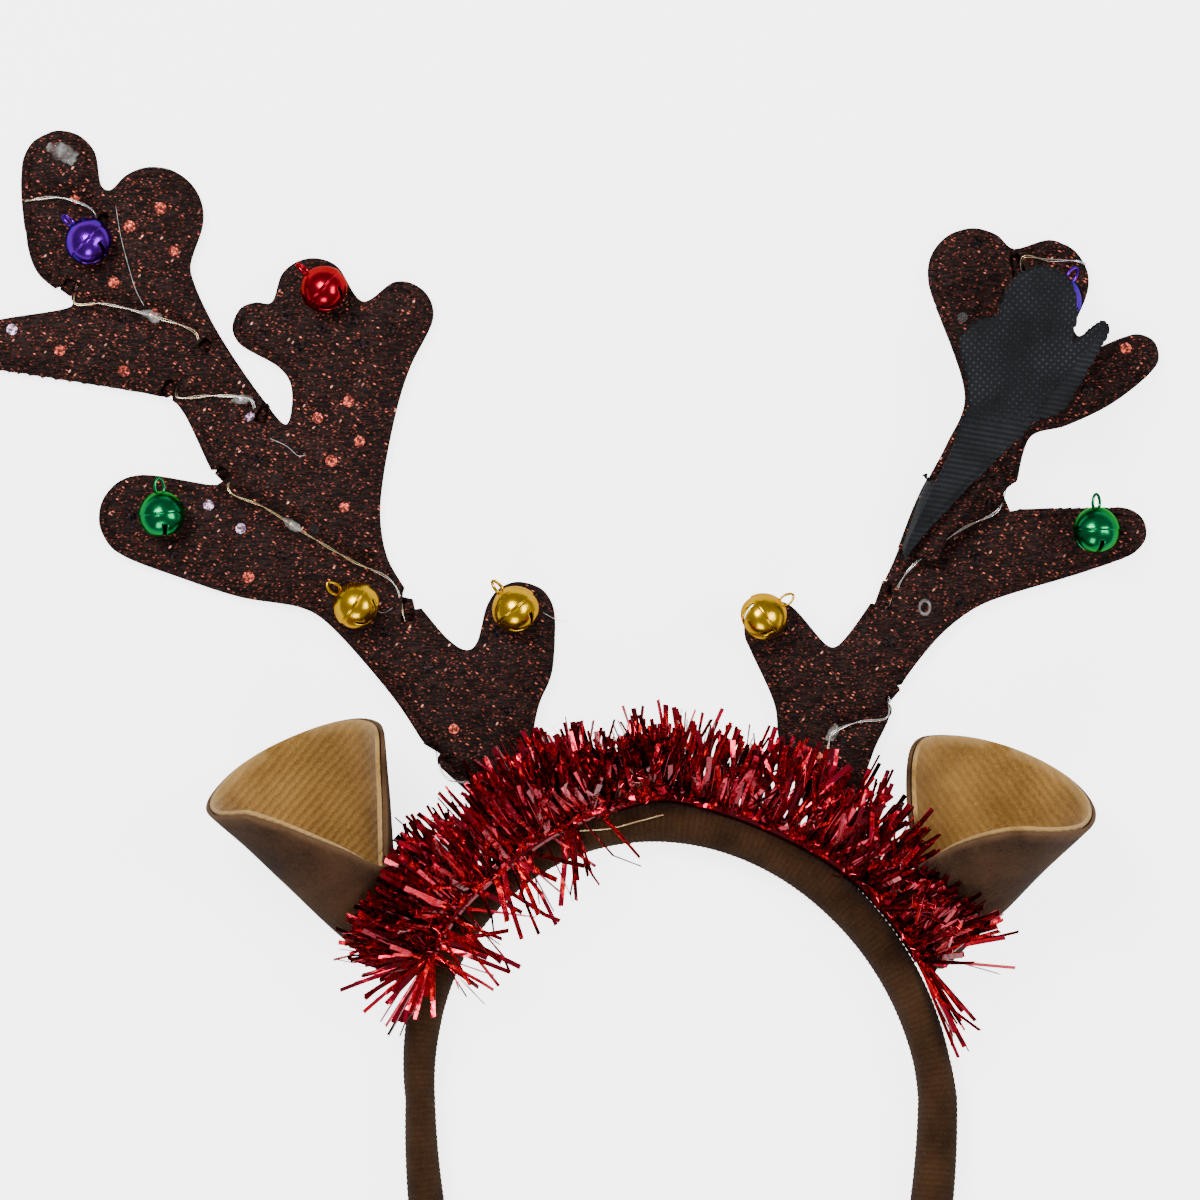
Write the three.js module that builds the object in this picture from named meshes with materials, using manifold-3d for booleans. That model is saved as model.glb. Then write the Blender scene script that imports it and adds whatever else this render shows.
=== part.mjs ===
// Reindeer antler headband lying on its back, in millimetres.
// +X is to the wearer's left, +Y runs from the legs to the antler tips, +Z faces up from the surface.
import * as THREE from "three";
import { mergeVertices } from "three/addons/utils/BufferGeometryUtils.js";
import Module from "manifold-3d";

const wasm = await Module();
wasm.setup();

// Driving dimensions
const gap = 0.3;
const bandHalfWidth = 67.3;
const bandRise = 72.3;
const bandLean = 6.5;
const legReach = 64;
const legCurve = 125;
const bandThick = 10.3;
const bandDepth = 12;
const antlerHeight = 189;
const padThick = 3.7;
const padRound = 3;
const backingThick = 1;
const backingInset = 0.8;
const limbFillet = 3;
const outlineStep = 2;
const outlineSlack = 0.6;
const foldRadius = 1.2;
const foldLength = 20;
const foldTongue = 5;
const earReach = 75;
const earWall = 1.2;
const coreRadius = 2.2;
const lockLength = 26;
const lockWidth = 2.4;
const lockTip = 1.2;
const lockCount = 62;
const bellRadius = 6.2;
const bellWall = 0.7;
const bellSlot = 1.2;
const loopRadius = 1.7;
const loopWire = 0.45;
const wireRadius = 0.45;
const wireClear = 0.35;
const pinchRoof = 0.9;
const dropLength = 5;
const dropWidth = 3.2;

// Fineness of the round forms
const bandSteps = 30;
const bandSides = 10;
const wireStepsPerRow = 1.2;
const wireSides = 5;
const roofStepsPerRow = 1.5;
const roofSides = 4;
const foldSteps = 7;
const bellSides = 10;
const bellRows = 5;
const hollowSides = 6;
const hollowRows = 3;
const coreSteps = 30;
const coreSides = 6;

// Thickness of the padded sleeve round the arch; turn is in degrees from the right, counterclockwise
const sleeve = [
  { turn: -31, thick: 0.8 },
  { turn: -12, thick: 1.08 },
  { turn: 8, thick: 0.92 },
  { turn: 45, thick: 1.02 },
  { turn: 120, thick: 1.0 },
  { turn: 165, thick: 0.87 },
  { turn: 180, thick: 0.74 },
  { turn: 192, thick: 0.9 },
  { turn: 211, thick: 0.8 },
];

// Rounding of the sleeve's ends; back is a share of half its thickness, size of its section
const bandEnds = [
  { back: 0, size: 0.4 },
  { back: 0.3, size: 0.8 },
];

// Shoulder of the padded fronts; inset is a share of padRound, rise of padThick
const shoulder = [
  { inset: 0, rise: 0 },
  { inset: 0.22, rise: 0.62 },
  { inset: 1, rise: 1 },
];

// Limbs of each antler from its foot; out, up and half width are shares of the antler's height
const leftLimbs = {
  stem: [
    { out: 0.0, up: -0.003, half: 0.032 },
    { out: 0.011, up: 0.072, half: 0.033 },
    { out: 0.058, up: 0.187, half: 0.077 },
    { out: 0.138, up: 0.268, half: 0.055 },
    { out: 0.206, up: 0.343, half: 0.056 },
    { out: 0.261, up: 0.425, half: 0.066 },
  ],
  innerTine: [
    { out: 0.052, up: 0.209, half: 0.069 },
    { out: 0.011, up: 0.274, half: 0.056 },
    { out: 0.001, up: 0.34, half: 0.048 },
  ],
  lowerTine: [
    { out: 0.261, up: 0.411, half: 0.066 },
    { out: 0.371, up: 0.433, half: 0.069 },
    { out: 0.454, up: 0.458, half: 0.067 },
    { out: 0.523, up: 0.476, half: 0.059 },
  ],
  outerBeam: [
    { out: 0.261, up: 0.429, half: 0.066 },
    { out: 0.347, up: 0.531, half: 0.063 },
    { out: 0.4, up: 0.609, half: 0.054 },
    { out: 0.44, up: 0.678, half: 0.048 },
    { out: 0.498, up: 0.746, half: 0.061 },
  ],
  heart: [
    { out: 0.498, up: 0.746, half: 0.061 },
    { out: 0.542, up: 0.828, half: 0.083 },
    { out: 0.506, up: 0.891, half: 0.069 },
  ],
  heartTip: [
    { out: 0.542, up: 0.828, half: 0.08 },
    { out: 0.607, up: 0.854, half: 0.072 },
    { out: 0.633, up: 0.913, half: 0.056 },
    { out: 0.635, up: 0.957, half: 0.053 },
  ],
  sideTine: [
    { out: 0.454, up: 0.685, half: 0.05 },
    { out: 0.55, up: 0.708, half: 0.058 },
    { out: 0.633, up: 0.715, half: 0.052 },
    { out: 0.715, up: 0.715, half: 0.036 },
  ],
  innerBeam: [
    { out: 0.259, up: 0.439, half: 0.063 },
    { out: 0.252, up: 0.528, half: 0.062 },
    { out: 0.248, up: 0.597, half: 0.069 },
    { out: 0.239, up: 0.666, half: 0.076 },
  ],
  crownTine: [
    { out: 0.248, up: 0.673, half: 0.055 },
    { out: 0.303, up: 0.714, half: 0.043 },
    { out: 0.365, up: 0.74, half: 0.033 },
  ],
  crownLobe: [
    { out: 0.253, up: 0.704, half: 0.061 },
    { out: 0.286, up: 0.78, half: 0.054 },
  ],
  crownOuter: [
    { out: 0.22, up: 0.682, half: 0.061 },
    { out: 0.165, up: 0.757, half: 0.045 },
  ],
};

const rightLimbs = {
  stem: [
    { out: 0.0, up: -0.003, half: 0.032 },
    { out: -0.007, up: 0.109, half: 0.033 },
    { out: -0.011, up: 0.232, half: 0.072 },
    { out: 0.044, up: 0.315, half: 0.051 },
    { out: 0.099, up: 0.387, half: 0.052 },
    { out: 0.147, up: 0.45, half: 0.066 },
  ],
  innerTine: [
    { out: -0.008, up: 0.249, half: 0.061 },
    { out: -0.052, up: 0.31, half: 0.052 },
    { out: -0.087, up: 0.366, half: 0.041 },
  ],
  lowerTine: [
    { out: 0.154, up: 0.453, half: 0.062 },
    { out: 0.271, up: 0.48, half: 0.055 },
    { out: 0.337, up: 0.491, half: 0.045 },
    { out: 0.395, up: 0.501, half: 0.033 },
  ],
  outerBeam: [
    { out: 0.151, up: 0.457, half: 0.065 },
    { out: 0.164, up: 0.519, half: 0.059 },
    { out: 0.201, up: 0.598, half: 0.055 },
    { out: 0.227, up: 0.684, half: 0.045 },
    { out: 0.22, up: 0.759, half: 0.063 },
  ],
  heart: [
    { out: 0.22, up: 0.759, half: 0.063 },
    { out: 0.188, up: 0.857, half: 0.063 },
  ],
  heartTip: [
    { out: 0.243, up: 0.766, half: 0.069 },
    { out: 0.289, up: 0.845, half: 0.059 },
  ],
  sideTine: [
    { out: 0.227, up: 0.673, half: 0.045 },
    { out: 0.299, up: 0.684, half: 0.041 },
    { out: 0.36, up: 0.711, half: 0.039 },
    { out: 0.415, up: 0.744, half: 0.03 },
  ],
};

// The right antler's inner beam, turned over on its fold so that its back shows
const foldedLimbs = {
  innerBeam: [
    { out: 0.113, up: 0.487, half: 0.018 },
    { out: 0.142, up: 0.524, half: 0.029 },
    { out: 0.176, up: 0.587, half: 0.034 },
    { out: 0.217, up: 0.656, half: 0.041 },
    { out: 0.252, up: 0.717, half: 0.055 },
  ],
  crownOuter: [
    { out: 0.229, up: 0.697, half: 0.047 },
    { out: 0.203, up: 0.755, half: 0.038 },
  ],
  crownLobe: [
    { out: 0.258, up: 0.724, half: 0.053 },
    { out: 0.275, up: 0.814, half: 0.05 },
  ],
  crownTine: [
    { out: 0.285, up: 0.69, half: 0.032 },
    { out: 0.333, up: 0.744, half: 0.018 },
    { out: 0.358, up: 0.779, half: 0.012 },
  ],
};
const foldStart = { out: 0.115, up: 0.463 };
const foldEnd = { out: 0.185, up: 0.613 };

// Rise of the folded beam across and along its fold over the antler's whole height, in bell radii
const foldRise = { across: 7.62, along: 5.5 };

// Routes of the light wires; lift is 1 on the front, 0 behind the antler and 0.5 at its rim
const leftRoute = [
  { out: 0.69, up: 0.913, lift: 0.5 },
  { out: 0.677, up: 0.914, lift: 1 },
  { out: 0.636, up: 0.918, lift: 1 },
  { out: 0.589, up: 0.899, lift: 1 },
  { out: 0.573, up: 0.894, lift: 0.5 },
  { out: 0.594, up: 0.836, lift: 0 },
  { out: 0.633, up: 0.78, lift: 0.5 },
  { out: 0.614, up: 0.772, lift: 1 },
  { out: 0.578, up: 0.772, lift: 1 },
  { out: 0.509, up: 0.755, lift: 1 },
  { out: 0.447, up: 0.73, lift: 1 },
  { out: 0.43, up: 0.721, lift: 0.5 },
  { out: 0.457, up: 0.682, lift: 0 },
  { out: 0.492, up: 0.647, lift: 0.5 },
  { out: 0.473, up: 0.643, lift: 1 },
  { out: 0.426, up: 0.645, lift: 1 },
  { out: 0.371, up: 0.638, lift: 1 },
  { out: 0.353, up: 0.627, lift: 0.5 },
  { out: 0.378, up: 0.572, lift: 0 },
  { out: 0.421, up: 0.526, lift: 0.5 },
  { out: 0.402, up: 0.514, lift: 1 },
  { out: 0.355, up: 0.492, lift: 1 },
  { out: 0.303, up: 0.459, lift: 1 },
  { out: 0.234, up: 0.418, lift: 1 },
  { out: 0.176, up: 0.387, lift: 1 },
  { out: 0.157, up: 0.372, lift: 0.5 },
  { out: 0.149, up: 0.267, lift: 0 },
  { out: 0.118, up: 0.175, lift: 0 },
  { out: 0.128, up: 0.127, lift: 0.5 },
  { out: 0.1, up: 0.116, lift: 1 },
  { out: 0.067, up: 0.112, lift: 1 },
];
const rightRoute = [
  { out: 0.353, up: 0.868, lift: 0.5 },
  { out: 0.33, up: 0.875, lift: 1 },
  { out: 0.292, up: 0.876, lift: 1 },
  { out: 0.257, up: 0.88, lift: 1 },
  { out: 0.243, up: 0.888, lift: 0.5 },
  { out: 0.262, up: 0.8, lift: 0 },
  { out: 0.25, up: 0.69, lift: 0 },
  { out: 0.233, up: 0.59, lift: 0 },
  { out: 0.244, up: 0.532, lift: 0.5 },
  { out: 0.22, up: 0.53, lift: 1 },
  { out: 0.176, up: 0.508, lift: 1 },
  { out: 0.132, up: 0.478, lift: 1 },
  { out: 0.098, up: 0.448, lift: 1 },
  { out: 0.07, up: 0.43, lift: 0.5 },
  { out: 0.06, up: 0.36, lift: 0 },
  { out: 0.062, up: 0.3, lift: 0 },
  { out: 0.094, up: 0.25, lift: 0.5 },
  { out: 0.068, up: 0.246, lift: 1 },
  { out: 0.03, up: 0.24, lift: 1 },
  { out: -0.007, up: 0.223, lift: 1 },
  { out: -0.013, up: 0.2, lift: 1 },
];
const leftDrops = [
  { out: 0.509, up: 0.755 },
  { out: 0.385, up: 0.64 },
  { out: 0.316, up: 0.467 },
];
const rightDrops = [
  { out: -0.007, up: 0.223 },
];

// Bells; turn points from the body to its wire loop, in degrees, and under marks the folded beam's own
const leftBells = [
  { name: "purple", out: 0.594, up: 0.856, turn: 135 },
  { name: "red", out: 0.271, up: 0.79, turn: 137 },
  { name: "green", out: 0.492, up: 0.48, turn: 95 },
  { name: "stem_gold", out: 0.227, up: 0.355, turn: 143 },
  { name: "tine_gold", out: 0.007, up: 0.351, turn: 129 },
];
const rightBells = [
  { name: "purple", out: 0.303, up: 0.821, turn: 60 },
  { name: "red", out: 0.243, up: 0.766, turn: 250, under: true },
  { name: "green", out: 0.354, up: 0.503, turn: 90 },
  { name: "tine_gold", out: -0.1, up: 0.384, turn: 36 },
];

// Slots of a bell, from its middle along its loop's line and across it, as shares of its radius
const slotPlace = 0.8;
const slotReach = 1.4;

// Rim of a rolled ear; past is in degrees round the roll from the fold, reach a share of the ear's reach
const earRim = [
  { past: 0, reach: 0.54 },
  { past: 20, reach: 0.6 },
  { past: 43, reach: 0.72 },
  { past: 66, reach: 0.88 },
  { past: 92, reach: 1.03 },
  { past: 142, reach: 1.0 },
  { past: 232, reach: 0.99 },
  { past: 330, reach: 1.0 },
  { past: 352, reach: 0.84 },
  { past: 360, reach: 0.54 },
];
const ears = [
  { name: "left", turn: 160, heading: 115, spread: 20, foldAt: 128, sense: 1, size: 1.0 },
  { name: "right", turn: 22, heading: 72, spread: 24, foldAt: 105, sense: -1, size: 0.88 },
];
const earRoot = 0.1;
const earRootStep = 0.08;
const earSides = 20;
const earRows = 2;

// Where an ear's tip sits, as a share of the sleeve's thickness, and how far the room it takes passes its rim
const earSeat = 0.58;
const earRoom = 1.03;

// The garland's core beside or on the sleeve; out is a share of the sleeve's thickness, lift of its depth
const garland = [
  { turn: 151, out: 0.35, lift: 1 },
  { turn: 138, out: 0.3, lift: 1 },
  { turn: 112, out: 0.3, lift: 1 },
  { turn: 98, out: 0.55, lift: 0.9 },
  { turn: 86, out: 0.8, lift: 0.62 },
  { turn: 50, out: 0.8, lift: 0.5 },
  { turn: 28, out: 0.8, lift: 0.5 },
  { turn: 22, out: 0.6, lift: 0.86 },
];

// Share of the garland that lies on top of the sleeve, where some strips point inwards
const overSleeve = 0.42;

// Strips in their order along the garland: lift off the surface and sway along the arch, in degrees, and
// length as a share of lockLength; a lift past 90 points inwards, or the same way up where none do
const locks = [
  { lift: 12, sway: -24, long: 0.8 },
  { lift: 121, sway: 26, long: 0.93 },
  { lift: 30, sway: 18, long: 0.6 },
  { lift: 84, sway: -8, long: 0.96 },
  { lift: 140, sway: -16, long: 0.77 },
  { lift: 44, sway: 10, long: 0.69 },
  { lift: 66, sway: 0, long: 0.99 },
  { lift: 144, sway: -24, long: 0.62 },
  { lift: 58, sway: 26, long: 0.87 },
];

const looks = {
  bandCloth: { color: 0x4d3423, roughness: 0.95, metalness: 0 },
  glitterCloth: { color: 0x2a1a17, roughness: 0.55, metalness: 0.1 },
  backCloth: { color: 0x131316, roughness: 0.85, metalness: 0 },
  earFelt: { color: 0x4b331f, roughness: 0.95, metalness: 0 },
  earVelour: { color: 0xa0713c, roughness: 0.9, metalness: 0 },
  redFilm: { color: 0xb3061c, roughness: 0.25, metalness: 0.7 },
  silverWire: { color: 0xc9c2b4, roughness: 0.3, metalness: 0.9 },
  gold: { color: 0xc8921a, roughness: 0.25, metalness: 0.9 },
  green: { color: 0x0a7a3c, roughness: 0.25, metalness: 0.9 },
  red: { color: 0xb00f1c, roughness: 0.25, metalness: 0.9 },
  purple: { color: 0x4413a8, roughness: 0.25, metalness: 0.9 },
};

const radians = THREE.MathUtils.degToRad;
const group = new THREE.Group();

function addMesh(name, geometry, look) {
  const mesh = new THREE.Mesh(geometry, new THREE.MeshStandardMaterial(looks[look]));
  mesh.name = name;
  group.add(mesh);
}

// Value of a named column at a place along a table, straight between its rows
function along(table, key, place, column) {
  const next = table.findIndex((row) => row[key] > place);
  if (next === 0) return table[0][column];
  if (next < 0) return table[table.length - 1][column];
  const [a, b] = [table[next - 1], table[next]];
  return THREE.MathUtils.mapLinear(place, a[key], b[key], a[column], b[column]);
}

function solidOf(geometry) {
  geometry.deleteAttribute("normal");
  geometry.deleteAttribute("uv");
  const merged = mergeVertices(geometry, 1e-4);
  return new wasm.Manifold(new wasm.Mesh({
    numProp: 3,
    vertProperties: new Float32Array(merged.attributes.position.array),
    triVerts: new Uint32Array(merged.index.array),
  }));
}

// The largest body of a cut solid
function mainBody(solid) {
  return solid.decompose().sort((a, b) => b.volume() - a.volume())[0];
}

function geometryOf(solid) {
  const mesh = mainBody(solid).getMesh();
  const geometry = new THREE.BufferGeometry();
  geometry.setAttribute("position", new THREE.BufferAttribute(mesh.vertProperties, 3));
  geometry.setIndex(new THREE.BufferAttribute(mesh.triVerts, 1));
  geometry.computeVertexNormals();
  return geometry;
}

function signedVolume(points, faces) {
  return faces.reduce((sum, [a, b, c]) => sum + points[a].dot(points[b].clone().cross(points[c])), 0);
}

// A closed skin over rings of equal length; profile, when given, is the flat outline that caps them
function loft(rings, profile) {
  const count = rings[0].length;
  const points = rings.flat();
  const faces = [];
  for (let i = 0; i < rings.length - 1; i++) {
    for (let j = 0; j < count; j++) {
      const [a, b] = [i * count + j, i * count + ((j + 1) % count)];
      faces.push([a, b, b + count], [a, b + count, a + count]);
    }
  }
  const last = (rings.length - 1) * count;
  if (profile) {
    for (const [a, b, c] of THREE.ShapeUtils.triangulateShape(profile, [])) {
      const turned = THREE.ShapeUtils.area(profile) > 0 ? [c, b, a] : [a, b, c];
      faces.push(turned, [...turned].reverse().map((k) => k + last));
    }
  } else {
    const total = (ring) => ring.reduce((sum, p) => sum.add(p), new THREE.Vector3());
    for (const ring of [rings[0], rings[rings.length - 1]]) points.push(total(ring).divideScalar(count));
    for (let j = 0; j < count; j++) {
      const next = (j + 1) % count;
      faces.push([points.length - 2, next, j], [points.length - 1, last + j, last + next]);
    }
  }
  const out = signedVolume(points, faces) > 0 ? faces : faces.map(([a, b, c]) => [a, c, b]);
  const geometry = new THREE.BufferGeometry().setFromPoints(points);
  geometry.setIndex(out.flat());
  return geometry;
}

// A round tube along a curve
function tube(curve, radius, steps, sides) {
  const frames = curve.computeFrenetFrames(steps, false);
  const rings = [];
  for (let i = 0; i <= steps; i++) {
    const centre = curve.getPointAt(i / steps);
    rings.push(Array.from({ length: sides }, (_, k) => {
      const angle = (k / sides) * Math.PI * 2;
      return centre.clone()
        .addScaledVector(frames.normals[i], Math.cos(angle) * radius)
        .addScaledVector(frames.binormals[i], Math.sin(angle) * radius);
    }));
  }
  return loft(rings);
}

// Centre line of the arch, and the point beside it at a distance out and a height
function archPoint(turn) {
  const angle = radians(turn);
  const rise = Math.sin(angle) > 0 ? bandRise : legCurve;
  const lean = bandLean * Math.max(0, Math.sin(angle));
  return new THREE.Vector3(bandHalfWidth * Math.cos(angle) - lean, rise * Math.sin(angle), 0);
}

function besideArch(turn, out, height) {
  const step = archPoint(turn + 0.5).sub(archPoint(turn - 0.5)).normalize();
  return archPoint(turn).add(new THREE.Vector3(step.y * out, -step.x * out, height));
}

// Padded sleeve, flat where it lies on the surface; grow widens it all round
function bandGeometry(grow) {
  const legTurn = THREE.MathUtils.radToDeg(Math.asin(legReach / legCurve));
  const endTurn = THREE.MathUtils.radToDeg(bandThick / 2 / legCurve);
  const stations = bandEnds.map(({ back, size }) => ({ turn: endTurn * back - legTurn, size }));
  for (let i = 0; i <= bandSteps; i++) {
    const turn = THREE.MathUtils.lerp(endTurn - legTurn, 180 + legTurn - endTurn, i / bandSteps);
    stations.push({ turn, size: 1 });
  }
  for (const { back, size } of [...bandEnds].reverse()) {
    stations.push({ turn: 180 + legTurn - endTurn * back, size });
  }
  return loft(stations.map(({ turn, size }) => Array.from({ length: bandSides }, (_, k) => {
    const angle = ((k + 0.5) / bandSides) * Math.PI * 2;
    const corner = 1 / Math.cos(Math.PI / bandSides);
    const thick = (bandThick * along(sleeve, "turn", turn, "thick") * size) / 2 + grow;
    const depth = (bandDepth * size) / 2 + grow;
    const height = bandDepth / 2 + Math.sin(angle) * corner * depth;
    return besideArch(turn, Math.cos(angle) * corner * thick, Math.max(height, -grow));
  })));
}

// Distance from a point to a set of tapered limbs, joined with a small fillet
function limbDistance(x, y, limbs) {
  let joined = Infinity;
  for (const rows of Object.values(limbs)) {
    let nearest = Infinity;
    for (let i = 0; i < rows.length - 1; i++) {
      const [a, b] = [rows[i], rows[i + 1]];
      const [dx, dy] = [b.out - a.out, b.up - a.up];
      const part = ((x - a.out) * dx + (y - a.up) * dy) / (dx * dx + dy * dy);
      const t = THREE.MathUtils.clamp(part, 0, 1);
      const reach = Math.hypot(x - a.out - dx * t, y - a.up - dy * t);
      nearest = Math.min(nearest, reach - THREE.MathUtils.lerp(a.half, b.half, t));
    }
    const fillet = limbFillet / antlerHeight;
    const blend = Math.max(0, fillet - Math.abs(joined - nearest)) / fillet;
    joined = Math.min(joined, nearest) - (blend * blend * fillet) / 4;
  }
  return joined;
}

// Outline of a set of limbs, walked round a grid of squares and thinned where it runs straight
function limbOutline(limbs, inset) {
  const rows = Object.values(limbs).flat();
  const margin = 2 * outlineStep / antlerHeight;
  const step = outlineStep / antlerHeight;
  const low = {
    x: Math.min(...rows.map((r) => r.out - r.half)) - margin,
    y: Math.min(...rows.map((r) => r.up - r.half)) - margin,
  };
  const across = Math.ceil((Math.max(...rows.map((r) => r.out + r.half)) + margin - low.x) / step);
  const tall = Math.ceil((Math.max(...rows.map((r) => r.up + r.half)) + margin - low.y) / step);
  const value = (i, j) => limbDistance(low.x + i * step, low.y + j * step, limbs) + inset / antlerHeight;
  const column = (i) => Array.from({ length: tall + 1 }, (_, j) => value(i, j));
  const grid = Array.from({ length: across + 1 }, (_, i) => column(i));
  const corners = [[0, 0], [1, 0], [1, 1], [0, 1]];
  const next = new Map();
  for (let i = 0; i < across; i++) {
    for (let j = 0; j < tall; j++) {
      const crossings = { in: [], out: [] };
      for (let k = 0; k < 4; k++) {
        const [a, b] = [corners[k], corners[(k + 1) % 4]];
        const [va, vb] = [grid[i + a[0]][j + a[1]], grid[i + b[0]][j + b[1]]];
        if (va < 0 === vb < 0) continue;
        const t = va / (va - vb);
        const point = [i + a[0] + (b[0] - a[0]) * t, j + a[1] + (b[1] - a[1]) * t];
        (va < 0 ? crossings.out : crossings.in).push(point);
      }
      crossings.out.forEach((from, k) => next.set(keyOf(from), { point: from, to: crossings.in[k] }));
    }
  }
  const loops = [];
  while (next.size) {
    const loop = [];
    let key = next.keys().next().value;
    while (next.has(key)) {
      const { point, to } = next.get(key);
      next.delete(key);
      loop.push(new THREE.Vector2(low.x + point[0] * step, low.y + point[1] * step));
      key = keyOf(to);
    }
    loops.push(loop);
  }
  const longest = loops.sort((a, b) => b.length - a.length)[0];
  return thinned(longest, outlineSlack / antlerHeight).map((p) => p.multiplyScalar(antlerHeight));
}

function keyOf(point) {
  return point.map((v) => v.toFixed(6)).join();
}

function thinned(points, slack) {
  const reaches = points.map((p) => p.distanceTo(points[0]));
  const far = reaches.indexOf(Math.max(...reaches));
  const halves = [points.slice(0, far + 1), [...points.slice(far), points[0]]];
  return halves.flatMap((half) => thinnedRun(half, slack).slice(0, -1));
}

function thinnedRun(points, slack) {
  const [a, b] = [points[0], points[points.length - 1]];
  const run = b.clone().sub(a).normalize();
  let [worst, at] = [0, 0];
  points.forEach((p, i) => {
    const off = Math.abs(p.clone().sub(a).cross(run));
    if (off > worst) [worst, at] = [off, i];
  });
  if (worst <= slack) return [a, b];
  return [...thinnedRun(points.slice(0, at + 1), slack).slice(0, -1), ...thinnedRun(points.slice(at), slack)];
}

// A rim point moved inwards, less far where the limb is narrower than the move
function inwards(point, limbs, distance) {
  const shares = [1, 0.8, 0.6, 0.4];
  const deepEnough = 0.85;
  const field = (x, y) => limbDistance(x / antlerHeight, y / antlerHeight, limbs) * antlerHeight;
  const probe = gap / 10;
  const slope = new THREE.Vector2(
    field(point.x + probe, point.y) - field(point.x - probe, point.y),
    field(point.x, point.y + probe) - field(point.x, point.y - probe)).normalize();
  const moves = shares.map((share) => distance * share);
  const fits = (move) => field(point.x - slope.x * move, point.y - slope.y * move) < -deepEnough * move;
  return point.clone().addScaledVector(slope, -(moves.find(fits) ?? Math.min(...moves)));
}

// Padded front: full in the middle, falling in a round shoulder to a thin seam at its rim
function padSolid(limbs, height) {
  const outline = limbOutline(limbs, 0);
  const rings = shoulder.map(({ inset, rise }) => outline.map((point) => {
    const moved = inset ? inwards(point, limbs, inset * padRound) : point;
    return new THREE.Vector3(moved.x, moved.y, height + rise * padThick);
  }));
  return solidOf(loft(rings, outline));
}

function sheetSolid(limbs, inset, height, thick) {
  const shape = new THREE.Shape(limbOutline(limbs, inset));
  const geometry = new THREE.ExtrudeGeometry(shape, { depth: thick, bevelEnabled: false });
  return solidOf(geometry.translate(0, 0, height));
}

const padBase = backingThick + gap;
const padTop = padBase + padThick;
const wireBack = wireRadius + wireClear + gap / 2;
const foldTurn = (foldRise.across * bellRadius) / antlerHeight;
const foldClimb = (foldRise.along * bellRadius) / antlerHeight;

// The same shape turned face down and leaning up from its fold
function turnedOver(solid, fold) {
  const geometry = geometryOf(solid);
  const place = geometry.attributes.position;
  for (let i = 0; i < place.count; i++) {
    const away = new THREE.Vector3(place.getX(i), place.getY(i), 0).sub(fold.start);
    const climb = away.dot(fold.across) * foldTurn + away.dot(fold.run) * foldClimb;
    place.setZ(i, 2 * (padTop + foldRadius) - place.getZ(i) + climb);
  }
  const index = geometry.index.array;
  for (let i = 0; i < index.length; i += 3) [index[i], index[i + 1]] = [index[i + 1], index[i]];
  return solidOf(geometry);
}

function foldLine() {
  const at = ({ out, up }) => new THREE.Vector3(out, up, 0).multiplyScalar(antlerHeight);
  const [start, end] = [at(foldStart), at(foldEnd)];
  const run = end.clone().sub(start).normalize();
  return { start, run, across: new THREE.Vector3(run.y, -run.x, 0) };
}

// The rolled edge that joins the upright and the turned-over parts, between two depths of the roll
function foldRoll(fold, inner, outer) {
  const lean = Math.atan(foldTurn);
  const profile = [];
  const addArc = (radius, back) => {
    for (let i = 0; i <= foldSteps; i++) {
      const part = back ? 1 - i / foldSteps : i / foldSteps;
      const angle = THREE.MathUtils.lerp(-Math.PI / 2, -Math.PI * 1.5 + lean, part);
      const normal = new THREE.Vector2(Math.cos(angle), Math.sin(angle));
      profile.push({ point: normal.clone().multiplyScalar(radius), normal });
    }
  };
  const addTongue = (radii, angle) => {
    const normal = new THREE.Vector2(Math.cos(angle), Math.sin(angle));
    const ahead = new THREE.Vector2(Math.abs(normal.y), angle < -Math.PI ? -normal.x : 0);
    radii.forEach((radius) => profile.push({
      point: normal.clone().multiplyScalar(radius).addScaledVector(ahead, foldTongue), normal }));
  };
  addArc(outer, false);
  addTongue([outer, inner], -Math.PI * 1.5 + lean);
  addArc(inner, true);
  addTongue([inner, outer], -Math.PI / 2);
  const rings = [0, foldLength].map((run) => profile.map(({ point, normal }) => {
    const open = (run * foldClimb) / 2;
    const flat = point.clone().addScaledVector(normal, open);
    return fold.start.clone().addScaledVector(fold.run, run).addScaledVector(fold.across, flat.x)
      .setZ(padTop + foldRadius + open + flat.y);
  }));
  return solidOf(loft(rings, profile.map(({ point }) => point)));
}

// A route's rows as a smooth line, on the front of the antler and behind it
function routeCurve(rows) {
  const front = padTop + gap;
  const points = rows.map(({ out, up, lift }) => new THREE.Vector3(
    out * antlerHeight, up * antlerHeight, THREE.MathUtils.lerp(wireBack, front, lift)));
  return new THREE.CatmullRomCurve3(points, false, "centripetal");
}

// The stretches of a route that pass behind the antler, from rim to rim
function backRuns(route) {
  const runs = [];
  let run = [];
  for (const row of route) {
    if (row.lift < 1) run.push(row);
    else if (run.length) run = runs.push(run) && [];
  }
  return runs.filter((rows) => rows.some((row) => row.lift === 0));
}

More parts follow.
